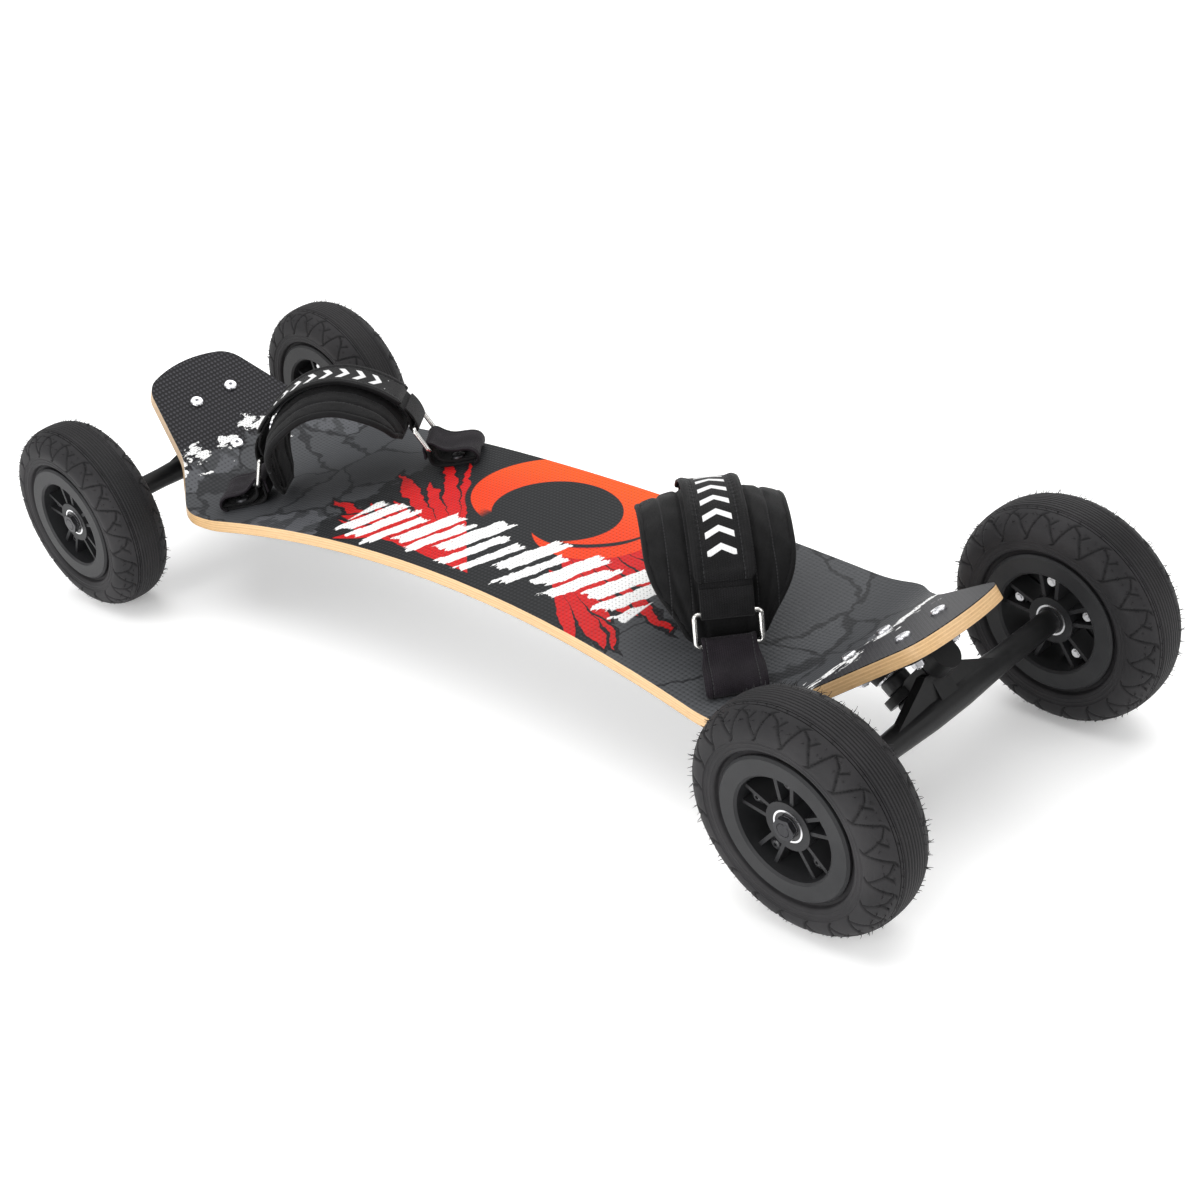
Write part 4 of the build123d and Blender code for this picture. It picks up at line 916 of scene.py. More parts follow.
@dataclass(frozen=True)
class Path:
    """A smooth line in one plane, read by the share of its length."""

    points: np.ndarray

    @classmethod
    def through(cls, corners: Iterable[tuple[float, float]], count: int = 400) -> "Path":
        """A natural cubic spline through points.

        Args:
            corners: the points.
            count: how many points the line keeps.

        Returns:
            The line, at even steps of its length.
        """
        knots = np.array(list(corners), dtype=float)
        chord = np.concatenate([[0.0], np.cumsum(np.linalg.norm(np.diff(knots, axis=0), axis=1))])
        n, h = len(knots), np.diff(chord)
        system, right = np.eye(n), np.zeros((n, 2))
        for i in range(1, n - 1):
            system[i, i - 1], system[i, i], system[i, i + 1] = h[i - 1], 2 * (h[i - 1] + h[i]), h[i]
            right[i] = 6 * ((knots[i + 1] - knots[i]) / h[i] - (knots[i] - knots[i - 1]) / h[i - 1])
        bend = np.linalg.solve(system, right)
        u = np.linspace(0.0, chord[-1], count * 4)
        k = np.clip(np.searchsorted(chord, u, side="right") - 1, 0, n - 2)
        a, b, w = (chord[k + 1] - u)[:, None], (u - chord[k])[:, None], h[k][:, None]
        line = (bend[k] * a**3 + bend[k + 1] * b**3) / (6 * w)
        line += (knots[k] / w - bend[k] * w / 6) * a + (knots[k + 1] / w - bend[k + 1] * w / 6) * b
        reach = np.concatenate([[0.0], np.cumsum(np.linalg.norm(np.diff(line, axis=0), axis=1))])
        even = np.linspace(0.0, reach[-1], count)
        return cls(np.column_stack([np.interp(even, reach, line[:, i]) for i in range(2)]))

    @property
    def length(self) -> float:
        """The line's length."""
        return float(np.linalg.norm(np.diff(self.points, axis=0), axis=1).sum())

    def at(self, share: np.ndarray, out: Union[float, np.ndarray] = 0.0) -> np.ndarray:
        """Points at shares of the length, moved out to the line's left."""
        place = np.clip(share, 0.0, 1.0) * (len(self.points) - 1)
        steps = np.arange(len(self.points))
        tangent = np.gradient(self.points, axis=0)
        tangent /= np.linalg.norm(tangent, axis=1)[:, None]
        p = np.column_stack([np.interp(place, steps, self.points[:, i]) for i in range(2)])
        t = np.column_stack([np.interp(place, steps, tangent[:, i]) for i in range(2)])
        return p + np.column_stack([-t[:, 1], t[:, 0]]) * np.broadcast_to(out, share.shape)[:, None]

    def nearest(self, places: np.ndarray) -> np.ndarray:
        """The share of the length nearest to each place."""
        found = [np.argmin(np.sum((self.points - place) ** 2, axis=1)) for place in places]
        return np.array(found) / (len(self.points) - 1)


# ---------------------------------------------------------------- wheels
@dataclass
class Tyre:
    """A small pneumatic tyre, modelled once round the Y axis with its moulding hairs."""

    around: int = 480
    zigzags: int = 20
    zigzag_radius: float = 84.0
    zigzag_span: tuple[float, float] = (16.0, 43.6)
    groove_depth: float = 1.15
    rib_pitch: float = 3.0
    rib_depth: float = 0.75
    hairs: int = 72
    hair_length: tuple[float, float] = (2.5, 5.2)
    hair_radius: float = 0.42
    crown: tuple = (
        (100.0, 0.0), (99.75, 6.0), (98.9, 12.0), (96.9, 18.0), (93.6, 23.4),
        (89.6, 27.4), (84.5, 30.1), (79.5, 31.0), (76.8, 30.9),
    )
    bead: tuple = (
        (76.3, 30.1), (75.4, 29.9), (74.2, 30.0), (73.6, 30.25), (73.0, 29.9), (71.6, 29.8),
        (70.7, 29.85), (70.2, 30.1), (69.6, 29.65), (68.4, 29.4), (67.3, 28.7), (66.6, 27.5),
        (66.2, 25.6), (65.4, 24.6), (60.0, 24.3), (50.4, 24.3), (50.4, 18.4), (61.5, 18.4),
        (66.0, 24.0), (73.0, 26.2), (79.5, 26.4), (88.0, 22.8), (93.0, 14.0),
    )
    inner_crown: float = 95.4
    off_tread: float = 60.0
    seed: int = 7

    def side_profile(self) -> tuple[np.ndarray, np.ndarray, np.ndarray]:
        """Half of the section from the crown to the inside.

        Returns:
            Radius and width of each point, how deep its rib groove is, and how far from the crown it lies.
        """
        line = Path.through(self.crown)
        tread = np.arange(0.0, 11.0, self.rib_pitch / 4)
        shoulder = np.array([11.6, 12.1, 12.5, 12.9, 13.5, 14.1, 14.6, 15.0, 15.4, 15.9])
        wall = np.linspace(16.6, line.length, 34)
        reach = np.concatenate([tread, shoulder, wall])
        rib = np.zeros(len(reach))
        rib[: len(tread)] = np.isclose((tread / self.rib_pitch + 0.5) % 1.0, 0.0, atol=0.01) * self.rib_depth
        rib[len(tread) + 2] = rib[len(tread) + 7] = 0.9
        crown = line.at(reach / line.length, rib)
        crown[:, 1] = np.maximum(crown[:, 1], 0.0)
        rows = np.concatenate([crown, np.array(self.bead)])
        cut = np.concatenate([rib, np.zeros(len(self.bead))])
        return rows, cut, np.concatenate([reach, np.full(len(self.bead), self.off_tread)])

    def zigzag(self, turn: np.ndarray, reach: np.ndarray) -> np.ndarray:
        """How strongly the zigzag groove cuts at each place, from 0 to 1."""
        pitch = 2 * math.pi * self.zigzag_radius / self.zigzags
        phase = (turn / (2 * math.pi) * self.zigzags) % 1.0
        lines = (
            ((0.0, 41.0), (0.34, 19.0)),
            ((0.34, 19.0), (0.62, 23.5)),
            ((0.62, 23.5), (1.0, 41.0)),
            ((0.34, 19.0), (0.48, 16.2)),
            ((0.0, 41.0), (-0.14, 43.4)),
            ((0.70, 27.0), (0.86, 21.0)),
        )
        nearest = np.full(phase.shape, 99.0)
        for (f0, r0), (f1, r1) in lines:
            a, b = np.array([f0 * pitch, r0]), np.array([f1 * pitch, r1])
            for lap in (-1, 0, 1):
                x, y = (phase + lap) * pitch - a[0], reach - a[1]
                share = np.clip((x * (b - a)[0] + y * (b - a)[1]) / ((b - a) @ (b - a)), 0.0, 1.0)
                away = np.hypot(x - share * (b - a)[0], y - share * (b - a)[1])
                nearest = np.minimum(nearest, away)
        return 1.0 - smooth_step(nearest, 0.4, 1.2)

    def carcass(self) -> bpy.types.Object:
        """The tyre's body: a grid wrapped round its section and the wheel, with its grooves cut in."""
        half, rib, reach = self.side_profile()
        back = slice(None, 0, -1)
        section = np.concatenate([half, [(self.inner_crown, 0.0)], half[back] * (1, -1)])
        cut = np.concatenate([rib, [0.0], rib[back]])
        along = np.concatenate([reach, [self.off_tread], reach[back]])
        steps = len(section)
        tangent = np.roll(section, -1, axis=0) - np.roll(section, 1, axis=0)
        tangent /= np.linalg.norm(tangent, axis=1)[:, None]
        obj = new_grid("tyre_carcass", self.around, steps)
        flat = coords(obj)
        turn = (flat[:, 0] + 1) * math.pi
        ring = np.rint((flat[:, 1] + 1) / 2 * steps).astype(int) % steps
        radius, width = section[ring, 0], section[ring, 1]
        offset = np.where(width < 0, math.pi / self.zigzags, 0.0)
        low, high = self.zigzag_span
        groove = self.zigzag(turn + offset, along[ring]) * (along[ring] > low) * (along[ring] < high)
        radius = radius - tangent[ring, 1] * groove * self.groove_depth
        width = width + tangent[ring, 0] * groove * self.groove_depth
        set_coords(obj, np.column_stack([radius * np.cos(turn), width, -radius * np.sin(turn)]) * MM)
        # the groove attribute carries the mask for the painted shade in the zigzag grooves and rib cuts
        shade = obj.data.attributes.new("groove", "FLOAT", "POINT")
        shade.data.foreach_set("value", np.maximum(groove, cut[ring]).astype(np.float32))
        close_shell(obj, merge=1e-6)
        smooth_shade(obj, 50.0)
        return obj

    def hair_rows(self) -> bpy.types.Object:
        """The moulding hairs along both edges of the tread, short where the tyre stands."""
        draw = np.random.default_rng(self.seed)
        bpy.ops.object.select_all(action="DESELECT")
        bpy.ops.mesh.primitive_cone_add(
            vertices=5, radius1=1.0, radius2=0.35, depth=1.0, location=(0.0, 0.0, 0.5)
        )
        model = bpy.context.object
        bpy.ops.object.transform_apply()
        bpy.ops.object.mode_set(mode="EDIT")
        bpy.ops.mesh.select_all(action="SELECT")
        bpy.ops.mesh.bisect(plane_co=(0, 0, 0.4), plane_no=(0, 0, 1))
        bpy.ops.mesh.select_all(action="SELECT")
        bpy.ops.mesh.bisect(plane_co=(0, 0, 0.75), plane_no=(0, 0, 1))
        bpy.ops.object.mode_set(mode="OBJECT")
        shape = coords(model)
        faces = [list(polygon.vertices) for polygon in model.data.polygons]
        rows, polygons = [], []
        for radius, width, lean in ((95.9, 19.6, 0.55), (91.6, 25.6, 0.25), (98.6, 13.4, 0.8)):
            for side in (1, -1):
                for k in range(self.hairs):
                    turn = (k + draw.uniform(-0.8, 0.8)) / self.hairs * 2 * math.pi
                    length = draw.uniform(*self.hair_length) * (1.0 if lean < 0.7 else 0.6)
                    bottom = math.sin(turn) > 0.80
                    out = np.array(
                        [
                            lean + draw.uniform(-0.2, 0.35),
                            side * (1.0 - lean * 0.5),
                            draw.uniform(-0.35, 0.35),
                        ]
                    )
                    if bottom:
                        out[0], length = 0.05, length * 0.5
                    out /= np.linalg.norm(out)
                    around = np.cross(out, (0.0, 0.0, 1.0))
                    around /= np.linalg.norm(around)
                    third = np.cross(out, around)
                    bend = draw.uniform(-0.35, 0.35, 2)
                    sag = shape[:, 2:3] ** 2 * length
                    local = (shape[:, 0:1] * self.hair_radius + sag * bend[0]) * around
                    local = local + (shape[:, 1:2] * self.hair_radius + sag * bend[1]) * third
                    local = local + (shape[:, 2:3] * (length + 0.5) - 0.5) * out
                    local = local + (radius, side * width, 0.0)
                    c, s = math.cos(turn), math.sin(turn)
                    x, z = local[:, 0] * c - local[:, 2] * s, -local[:, 0] * s - local[:, 2] * c
                    base = len(rows) * len(shape)
                    rows.append(np.column_stack([x, local[:, 1], z]))
                    polygons += [[base + i for i in face] for face in faces]
        mesh = bpy.data.meshes.new("tyre_hairs")
        mesh.from_pydata((np.concatenate(rows) * MM).tolist(), [], polygons)
        mesh.update()
        obj = bpy.data.objects.new("tyre_hairs", mesh)
        bpy.context.scene.collection.objects.link(obj)
        bpy.data.objects.remove(model)
        close_shell(obj)
        return obj

    def build(self) -> bpy.types.Object:
        """Make the tyre with its hairs, round the Y axis."""
        return joined("tyre_model", [self.carcass(), self.hair_rows()])


@dataclass
class Wheels:
    """The four wheels' new tyres, copied to each wheel."""

    names: tuple = ("front_left", "front_right", "rear_left", "rear_right")
    tyre: Tyre = field(default_factory=Tyre)

    def build(self) -> None:
        """Copy the tyre to each wheel and hide the CAD tyre it replaces."""
        model = self.tyre.build()
        model.data.materials.append(TyreRubber().build())
        for name in self.names:
            low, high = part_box("tyre_" + name)
            tyre = model.copy()
            tyre.data = model.data.copy()
            tyre.name = tyre.data.name = "moulded_tyre_" + name
            tyre.data.transform(Matrix.Translation((low + high) / 2))
            bpy.context.scene.collection.objects.link(tyre)
            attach(tyre, "wheel_" + name)
            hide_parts("tyre_" + name)
            log.info("%s: %d faces", tyre.name, len(tyre.data.polygons))
        bpy.data.objects.remove(model)


# ---------------------------------------------------------------- foot straps
@dataclass
class FootStrap:
    """A foot strap: quilted pad, webbing over it, printed top panel and the webbing anchors.

    It is modelled at the front in a frame with X across the foot, Y along it and Z up from
    the deck, in millimetres, and mirrored for the rear.
    """

    place: tuple[float, float] = (0.2476, 0.0008)
    turn: float = math.radians(41.0)
    arch: tuple = ((83.0, 45.4), (72.9, 67.1), (57.5, 84.3), (38.3, 97.0), (19.2, 104.8), (0.0, 107.0))
    pad_line: tuple = (
        (73.8, 6.7), (74.4, 35.7), (69.0, 64.7), (55.6, 83.3), (37.4, 95.8), (19.2, 103.7), (0.0, 106.1),
    )
    pad_thickness: float = 8.6
    pad_half: float = 60.0
    pad_foot_half: float = 30.0
    pad_short_end: float = 40.0
    channels: tuple = (27.0, 44.0)
    piping: float = 3.1
    strap_half: float = 22.0
    panel_half: float = 25.0
    ring_bar: tuple[float, float] = (80.4, 45.4)
    ring_low: tuple[float, float] = (90.0, 20.2)
    bolt_at: float = 114.0
    bar_loop: float = 3.6
    droop_in: float = 0.06
    droop_down: float = 0.11
    puff_cap: float = 3.4
    puff_frames: int = 20
    voxel: float = 0.0042

    def frame(self) -> Matrix:
        """The strap's frame on the deck."""
        heading = Vector((-math.cos(self.turn), math.sin(self.turn), 0.0))
        return DECK.frame_at(*self.place, heading)

    def anchor_frame(self, side: int) -> Matrix:
        """The frame at one anchor's bolts, X outwards."""
        spot = self.frame() @ Vector((side * self.bolt_at * MM, 0.0, 0.0))
        heading = Vector((-math.cos(self.turn), math.sin(self.turn), 0.0)) * side
        return DECK.frame_at(spot.x, spot.y, heading)

    @staticmethod
    def both_sides(half: Iterable[tuple[float, float]]) -> list[tuple[float, float]]:
        """A line's points from one side to the other."""
        half = list(half)
        return [(-t, h) for t, h in half[:-1]] + half[::-1]

    def ribbon(
        self,
        name: str,
        path: Path,
        half: Callable[[np.ndarray], np.ndarray],
        thickness: float,
        relief: Optional[Callable[[np.ndarray, np.ndarray], np.ndarray]] = None,
        steps: tuple[int, int] = (160, 16),
        frame: Optional[Matrix] = None,
    ) -> bpy.types.Object:
        """Webbing of a given thickness laid along a path.

        Args:
            name: the piece's name.
            path: the middle line, across and up.
            half: half the width at each share of the length.
            thickness: how thick the webbing is.
            relief: how far a point stands out, by share of the length and place across.
            steps: divisions along and across.
            frame: the frame it lies in, the strap's own if none is given.

        Returns:
            The closed ribbon.
        """
        obj = new_grid(name, *steps)
        flat = coords(obj)
        share, across = (flat[:, 0] + 1) / 2, flat[:, 1]
        wide = across * half(share)
        out = relief(share, wide) if relief else 0.0
        spot = path.at(share, out)
        local = np.column_stack([spot[:, 0], wide, spot[:, 1]]) * MM
        set_coords(obj, local)
        middle = share * path.length - path.length / 2
        set_uv(obj, np.column_stack([middle, wide]) * MM)
        apply_modifier(obj, "SOLIDIFY", thickness=thickness * MM, offset=0.0, use_even_offset=True)
        edge = thickness * 0.38 * MM
        apply_modifier(
            obj, "BEVEL", width=edge, segments=2, limit_method="ANGLE", angle_limit=math.radians(60.0)
        )
        obj.data.transform(frame or self.frame())
        smooth_shade(obj, 35.0)
        return obj

    def strap_path(self) -> Path:
        """The webbing's line: over the pad, in behind each ring bar, round it and back up outside."""
        arch = Path.through(self.both_sides(self.arch))
        body = arch.at(np.linspace(0.5, 0.885, 6), 1.1)
        t0, h0 = self.ring_bar
        loop = [
            (t0 + self.bar_loop * math.cos(a), h0 + self.bar_loop * math.sin(a))
            for a in np.radians(range(185, 361, 25))
        ]
        back = arch.at(np.array([0.955, 0.90]), 3.4)
        half = [tuple(p) for p in body] + [(77.7, 54.6)] + loop + [(83.8, 49.2)] + [tuple(p) for p in back]
        return Path.through([(-t, h) for t, h in half[:0:-1]] + half, 1200)

    def webbing(self) -> bpy.types.Object:
        """The plain webbing, a little rippled where it turns round the rings."""
        path = self.strap_path()

        def ripple(share: np.ndarray, wide: np.ndarray) -> np.ndarray:
            """Small cross ripples near the rings."""
            near = np.exp(-(((np.abs(share - 0.5) - 0.36) / 0.03) ** 2))
            return near * 0.35 * np.sin(share * 260.0 + wide * 0.12)

        return self.ribbon(
            "strap_webbing_front", path, lambda s: np.full(s.shape, self.strap_half), 1.9, ripple, (420, 14)
        )

    def panel(self) -> bpy.types.Object:
        """The printed top panel with raised, stitched borders and turned-under ends."""
        arch = Path.through(self.both_sides(self.arch))
        line = Path(arch.at(np.linspace(0.125, 0.875, 600), 3.55))

        def borders(share: np.ndarray, wide: np.ndarray) -> np.ndarray:
            """Raised rolled borders, an end hem and a soft crown."""
            edge = np.exp(-(((np.abs(wide) - 21.0) / 2.9) ** 2)) * 1.5
            end = (0.5 - np.abs(share - 0.5)) * line.length
            hem = np.exp(-(((end - 6.0) / 3.6) ** 2)) * 1.0
            dip = smooth_step(end, 0.0, 3.0) - 1.0
            pucker = 0.22 * np.sin(share * 190.0) * np.exp(-(((np.abs(wide) - 17.2) / 2.0) ** 2))
            return np.maximum(edge, hem) + dip * 0.7 + pucker

        def half(share: np.ndarray) -> np.ndarray:
            """Half the width, rounded at the ends."""
            end = (0.5 - np.abs(share - 0.5)) * line.length
            return self.panel_half - 3.0 * (1 - smooth_step(end, 0.0, 6.0)) ** 2

        return self.ribbon("strap_panel_front", line, half, 2.4, borders, (220, 44))

    def pad_half_at(self, height: np.ndarray) -> np.ndarray:
        """Half the pad's width at a height."""
        grow = smooth_step(height, 4.0, 92.0)
        return self.pad_foot_half + (self.pad_half - self.pad_foot_half) * grow

    def pad_spot(self, share: np.ndarray, across: np.ndarray, inward: Union[float, np.ndarray]) -> np.ndarray:
        """A place in the pad, in the strap's frame.

        Args:
            share: share of the line's length, from the long end to the short one.
            across: from -1 at one edge to 1 at the other.
            inward: how far inside the pad's outer face.

        Returns:
            Rows of coordinates, in millimetres.
        """
        line = self.pad_path()
        flat = line.at(share, -np.broadcast_to(inward, share.shape))
        half = self.pad_half_at(flat[:, 1])
        ends = np.minimum(share, 1.0 - share) * line.length
        half = half - 10.0 * (1.0 - smooth_step(ends, 0.0, 16.0)) ** 2
        wide = across * half
        droop = (wide / self.pad_half) ** 2
        in_by, down_by = 1 - self.droop_in * droop, 1 - self.droop_down * droop
        return np.column_stack([flat[:, 0] * in_by, wide, flat[:, 1] * down_by])

    def pad_path(self) -> Path:
        """The pad's outer line: long on the inner side of the board, short on the other."""
        full = Path.through(self.both_sides(self.pad_line))
        keep = full.points[(full.points[:, 0] < 0) | (full.points[:, 1] > self.pad_short_end + 1.0)]
        return Path.through(keep[:: max(1, len(keep) // 40)])

    def pad(self) -> bpy.types.Object:
        """The padded cuff: a closed quilted shell puffed between its sewn channels, with piped edges."""
        obj = new_grid("padded_cuff_front", 74, 30)
        flat = coords(obj)
        share, across = (flat[:, 0] + 1) / 2, flat[:, 1]
        set_coords(obj, self.pad_spot(share, across * 1.005, 0.5) * MM)
        apply_modifier(obj, "SOLIDIFY", thickness=self.pad_thickness * MM, offset=-1.0, use_even_offset=True)
        apply_modifier(obj, "REMESH", mode="VOXEL", voxel_size=self.voxel, use_smooth_shade=True)
        self.puff(obj)
        apply_modifier(obj, "SUBSURF", levels=1, render_levels=1)
        self.sew(obj)
        smooth_shade(obj, 70.0)
        return joined("padded_cuff_front", [obj, self.edge_piping()])

    def unrolled(self, rows: np.ndarray) -> np.ndarray:
        """Length along the pad and place across it for rows of coordinates, in millimetres."""
        line = self.pad_path()
        droop = (rows[:, 1] / self.pad_half) ** 2
        in_by, down_by = 1 - self.droop_in * droop, 1 - self.droop_down * droop
        flat = np.column_stack([rows[:, 0] / in_by, rows[:, 2] / down_by])
        return np.column_stack([line.nearest(flat) * line.length, rows[:, 1]])

    def seam_depth(self, place: np.ndarray) -> np.ndarray:
        """How close each place is to a sewn channel, from 0 to 1."""
        near = np.zeros(len(place))
        for channel in self.channels:
            line = channel * (0.62 + 0.38 * smooth_step(place[:, 0], 0.0, 95.0))
            near = np.maximum(near, np.exp(-(((np.abs(place[:, 1]) - line) / 2.0) ** 2)))
        return near

    def puff(self, obj: bpy.types.Object) -> None:
        """Inflate the shell a little as cloth, held along its channels."""
        start = coords(obj)
        pinned = self.seam_depth(self.unrolled(start / MM)) > 0.45
        group = obj.vertex_groups.new(name="seam")
        group.add(np.flatnonzero(pinned).tolist(), 1.0, "REPLACE")
        only(obj)
        cloth = obj.modifiers.new("cloth", "CLOTH")
        settings = cloth.settings
        settings.quality, settings.mass = 5, 0.25
        settings.tension_stiffness = settings.compression_stiffness = 12.0
        settings.bending_stiffness = 0.4
        settings.use_pressure, settings.uniform_pressure_force = True, 4.0
        settings.vertex_group_mass = "seam"
        settings.effector_weights.gravity = 0.0
        cloth.collision_settings.use_collision = False
        cloth.point_cache.frame_start, cloth.point_cache.frame_end = 1, self.puff_frames
        for frame_number in range(1, self.puff_frames - 1):
            bpy.context.scene.frame_set(frame_number)
        bpy.ops.object.modifier_apply(modifier=cloth.name)
        bpy.context.scene.frame_set(1)
        move = coords(obj) - start
        length = np.linalg.norm(move, axis=1)[:, None]
        cap = self.puff_cap * MM
        set_coords(obj, start + move * np.minimum(1.0, cap / np.maximum(length, 1e-9)))
        obj.vertex_groups.clear()
        log.info("pad swelled by %.1f mm at most", float(length.max()) / MM)

    def sew(self, obj: bpy.types.Object) -> None:
        """Draw the channels in and give the pad its creases and its UV."""
        rows = coords(obj) / MM
        place = self.unrolled(rows)
        crease = (
            np.sin(place[:, 0] * 0.21 + np.sin(place[:, 1] * 0.09) * 1.7)
            * np.sin(place[:, 1] * 0.13 + 0.6)
        )
        depth = self.seam_depth(place) * 1.9 + crease * 0.35
        set_coords(obj, (rows - normals(obj) * depth[:, None]) * MM)
        set_uv(obj, place * MM)
        obj.data.transform(self.frame())

    def edge_piping(self) -> bpy.types.Object:
        """The rolled binding round the pad's edge."""
        count = 90
        run, hold = np.linspace(0.0, 1.0, count), np.linspace(-1.0, 1.0, 26)[1:-1]
        share = np.concatenate([run, np.ones(len(hold)), run[::-1], np.zeros(len(hold))])
        across = np.concatenate([-np.ones(count), hold, np.ones(count), -hold])
        rows = self.pad_spot(share, across, self.pad_thickness * 0.5)
        cord = round_cord("piping", rows * MM, self.piping * MM, True)
        set_uv(cord, self.unrolled(coords(cord) / MM) * MM)
        cord.data.transform(self.frame())
        return cord

    def anchor_bar(self, side: int) -> tuple[float, float]:
        """The ring's lower bar in an anchor's frame, in millimetres."""
        t, h = self.ring_low
        spot = self.anchor_frame(side).inverted() @ self.frame() @ Vector((side * t * MM, 0.0, h * MM))
        return spot.x / MM, spot.z / MM

    @staticmethod
    def core_half(share: np.ndarray) -> np.ndarray:
        """Half the width of the doubled webbing."""
        return np.full(share.shape, 21.5)

    def anchor_core(self, side: int) -> bpy.types.Object:
        """The doubled webbing from the bolts round the ring's lower bar and back."""
        x, z = self.anchor_bar(side)
        loop = [
            (x + 3.9 * math.cos(a), z + 3.9 * math.sin(a)) for a in np.radians((200, 160, 120, 80, 40, 0))
        ]
        points = (
            [(19.0, 1.35), (0.0, 1.35), (-12.0, 1.6), (x - 2.2, 7.0)]
            + loop
            + [(x + 5.0, 12.0), (-8.0, 6.0), (0.0, 5.4), (19.0, 5.4)]
        )
        return self.ribbon(
            "core", Path.through(points), self.core_half, 2.4, None, (150, 10), self.anchor_frame(side)
        )

    def anchor_cover(self, side: int) -> bpy.types.Object:
        """The bulky cover over the bolts, rolled down at its outer end."""
        x, z = self.anchor_bar(side)
        loop = [(x + 6.3 * math.cos(a), z + 6.3 * math.sin(a)) for a in np.radians((195, 155, 115, 75, 38))]
        points = (
            [(x - 6.6, z - 9.0)]
            + loop
            + [
                (x * 0.5 + 1.5, 19.5), (2.0, 17.4), (10.0, 17.0), (17.0, 14.6),
                (20.6, 9.4), (19.4, 3.8), (15.5, 1.3),
            ]
        )
        path = Path.through(points)

        def half(share: np.ndarray) -> np.ndarray:
            """Narrow at the ring, wide over the bolts."""
            return 22.5 + 3.3 * smooth_step(share, 0.3, 0.62) - 1.6 * smooth_step(share, 0.84, 1.0)

        def folds(share: np.ndarray, wide: np.ndarray) -> np.ndarray:
            """Soft lengthwise folds and a rolled hem at each edge."""
            hem = np.exp(-(((np.abs(wide) - 21.5) / 2.4) ** 2)) * 0.8
            return hem + 0.5 * np.sin(wide * 0.19 + share * 5.0) * smooth_step(share, 0.35, 0.5)

        return self.ribbon("cover", path, half, 2.2, folds, (130, 34), self.anchor_frame(side))

    def build(self) -> None:
        """Model the front strap, mirror it for the rear, and hide the CAD nodes the pieces stand for."""
        webbing = WebbingFinish("plain_webbing", (0.005, 0.005, 0.0053), (0.0095, 0.0092, 0.010))
        panel = WebbingFinish(
            "printed_panel", (0.0045, 0.0045, 0.0048), (0.0085, 0.0082, 0.009),
            rows=(0.0168, -0.0168), printed=True, roughness=0.5,
        )
        cover = WebbingFinish(
            "anchor_cover", (0.0085, 0.0065, 0.009), (0.0145, 0.011, 0.015),
            rows=(0.0192, -0.0192), along=700.0, across=560.0,
        )
        pad = WebbingFinish(
            "pad_cover_cloth", (0.0042, 0.0042, 0.0045), (0.008, 0.0078, 0.0084),
            along=900.0, across=900.0, depth=0.00025, roughness=0.55, rows=(0.0270, -0.0270, 0.044, -0.044),
        )
        plans = (
            ("strap_webbing", [self.webbing()], webbing, "strap_webbing", "strap_"),
            ("strap_panel", [self.panel()], panel, "strap_webbing", None),
            ("padded_cuff", [self.pad()], pad, "pad_fabric", "strap_pad_"),
            (
                "anchor_core", [self.anchor_core(1), self.anchor_core(-1)],
                webbing, "webbing", "strap_anchors_",
            ),
            ("anchor_cover", [self.anchor_cover(1), self.anchor_cover(-1)], cover, "webbing", None),
        )
        for name, parts, finish, slot, stands_for in plans:
            front = joined(name + "_front", parts)
            front.data.materials.clear()
            front.data.materials.append(finish.build())
            rear = mirrored_copy(front, name + "_rear")
            for piece, end in ((front, "front"), (rear, "rear")):
                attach(piece, "board")
                if stands_for:
                    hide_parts(stands_for + end)
                log.info("%s: %d faces", piece.name, len(piece.data.polygons))


# ---------------------------------------------------------------- carried-over parts
WHEEL_LINE = (0.486, 0.100)


def from_wheel_line(g: Graph, where: Socket) -> Socket:
    """How far a place lies from the nearer axle, seen from the side, in metres."""
    x, _, z = g.split(where)
    ahead = g.minus(g.absolute(x), WHEEL_LINE[0])
    return g.vector("LENGTH", g.join(ahead, 0.0, g.minus(z, WHEEL_LINE[1])))


@dataclass(frozen=True)
class BearingFinish:
    """A ball bearing: bright ground races outside a dark rubber shield."""

    shield: float = 0.0124

    def build(self) -> bpy.types.Material:
        """Make the material."""
        material, g, bsdf = start_material("bearing_steel_and_shield")
        where = g.add("TexCoord").outputs["Object"]
        away = from_wheel_line(g, where)
        race = g.step(away, self.shield - 0.0001, self.shield + 0.0001)
        grain = g.place(EFFECTS.grain, Vector=where, Fine=2200.0, Broad=120.0)
        steel = g.mix(grain.outputs["Tone"], (0.86, 0.86, 0.87), (0.66, 0.66, 0.68))
        g.feed(bsdf.inputs["Base Color"], g.mix(race, (0.02, 0.02, 0.021), steel))
        g.feed(bsdf.inputs["Metallic"], race)
        g.feed(bsdf.inputs["Roughness"], g.plus(0.2, g.times(grain.outputs["Tone"], 0.2)))
        g.feed(bsdf.inputs["Normal"], g.bump(grain.outputs["Height"], 0.0001, 0.3))
        return material


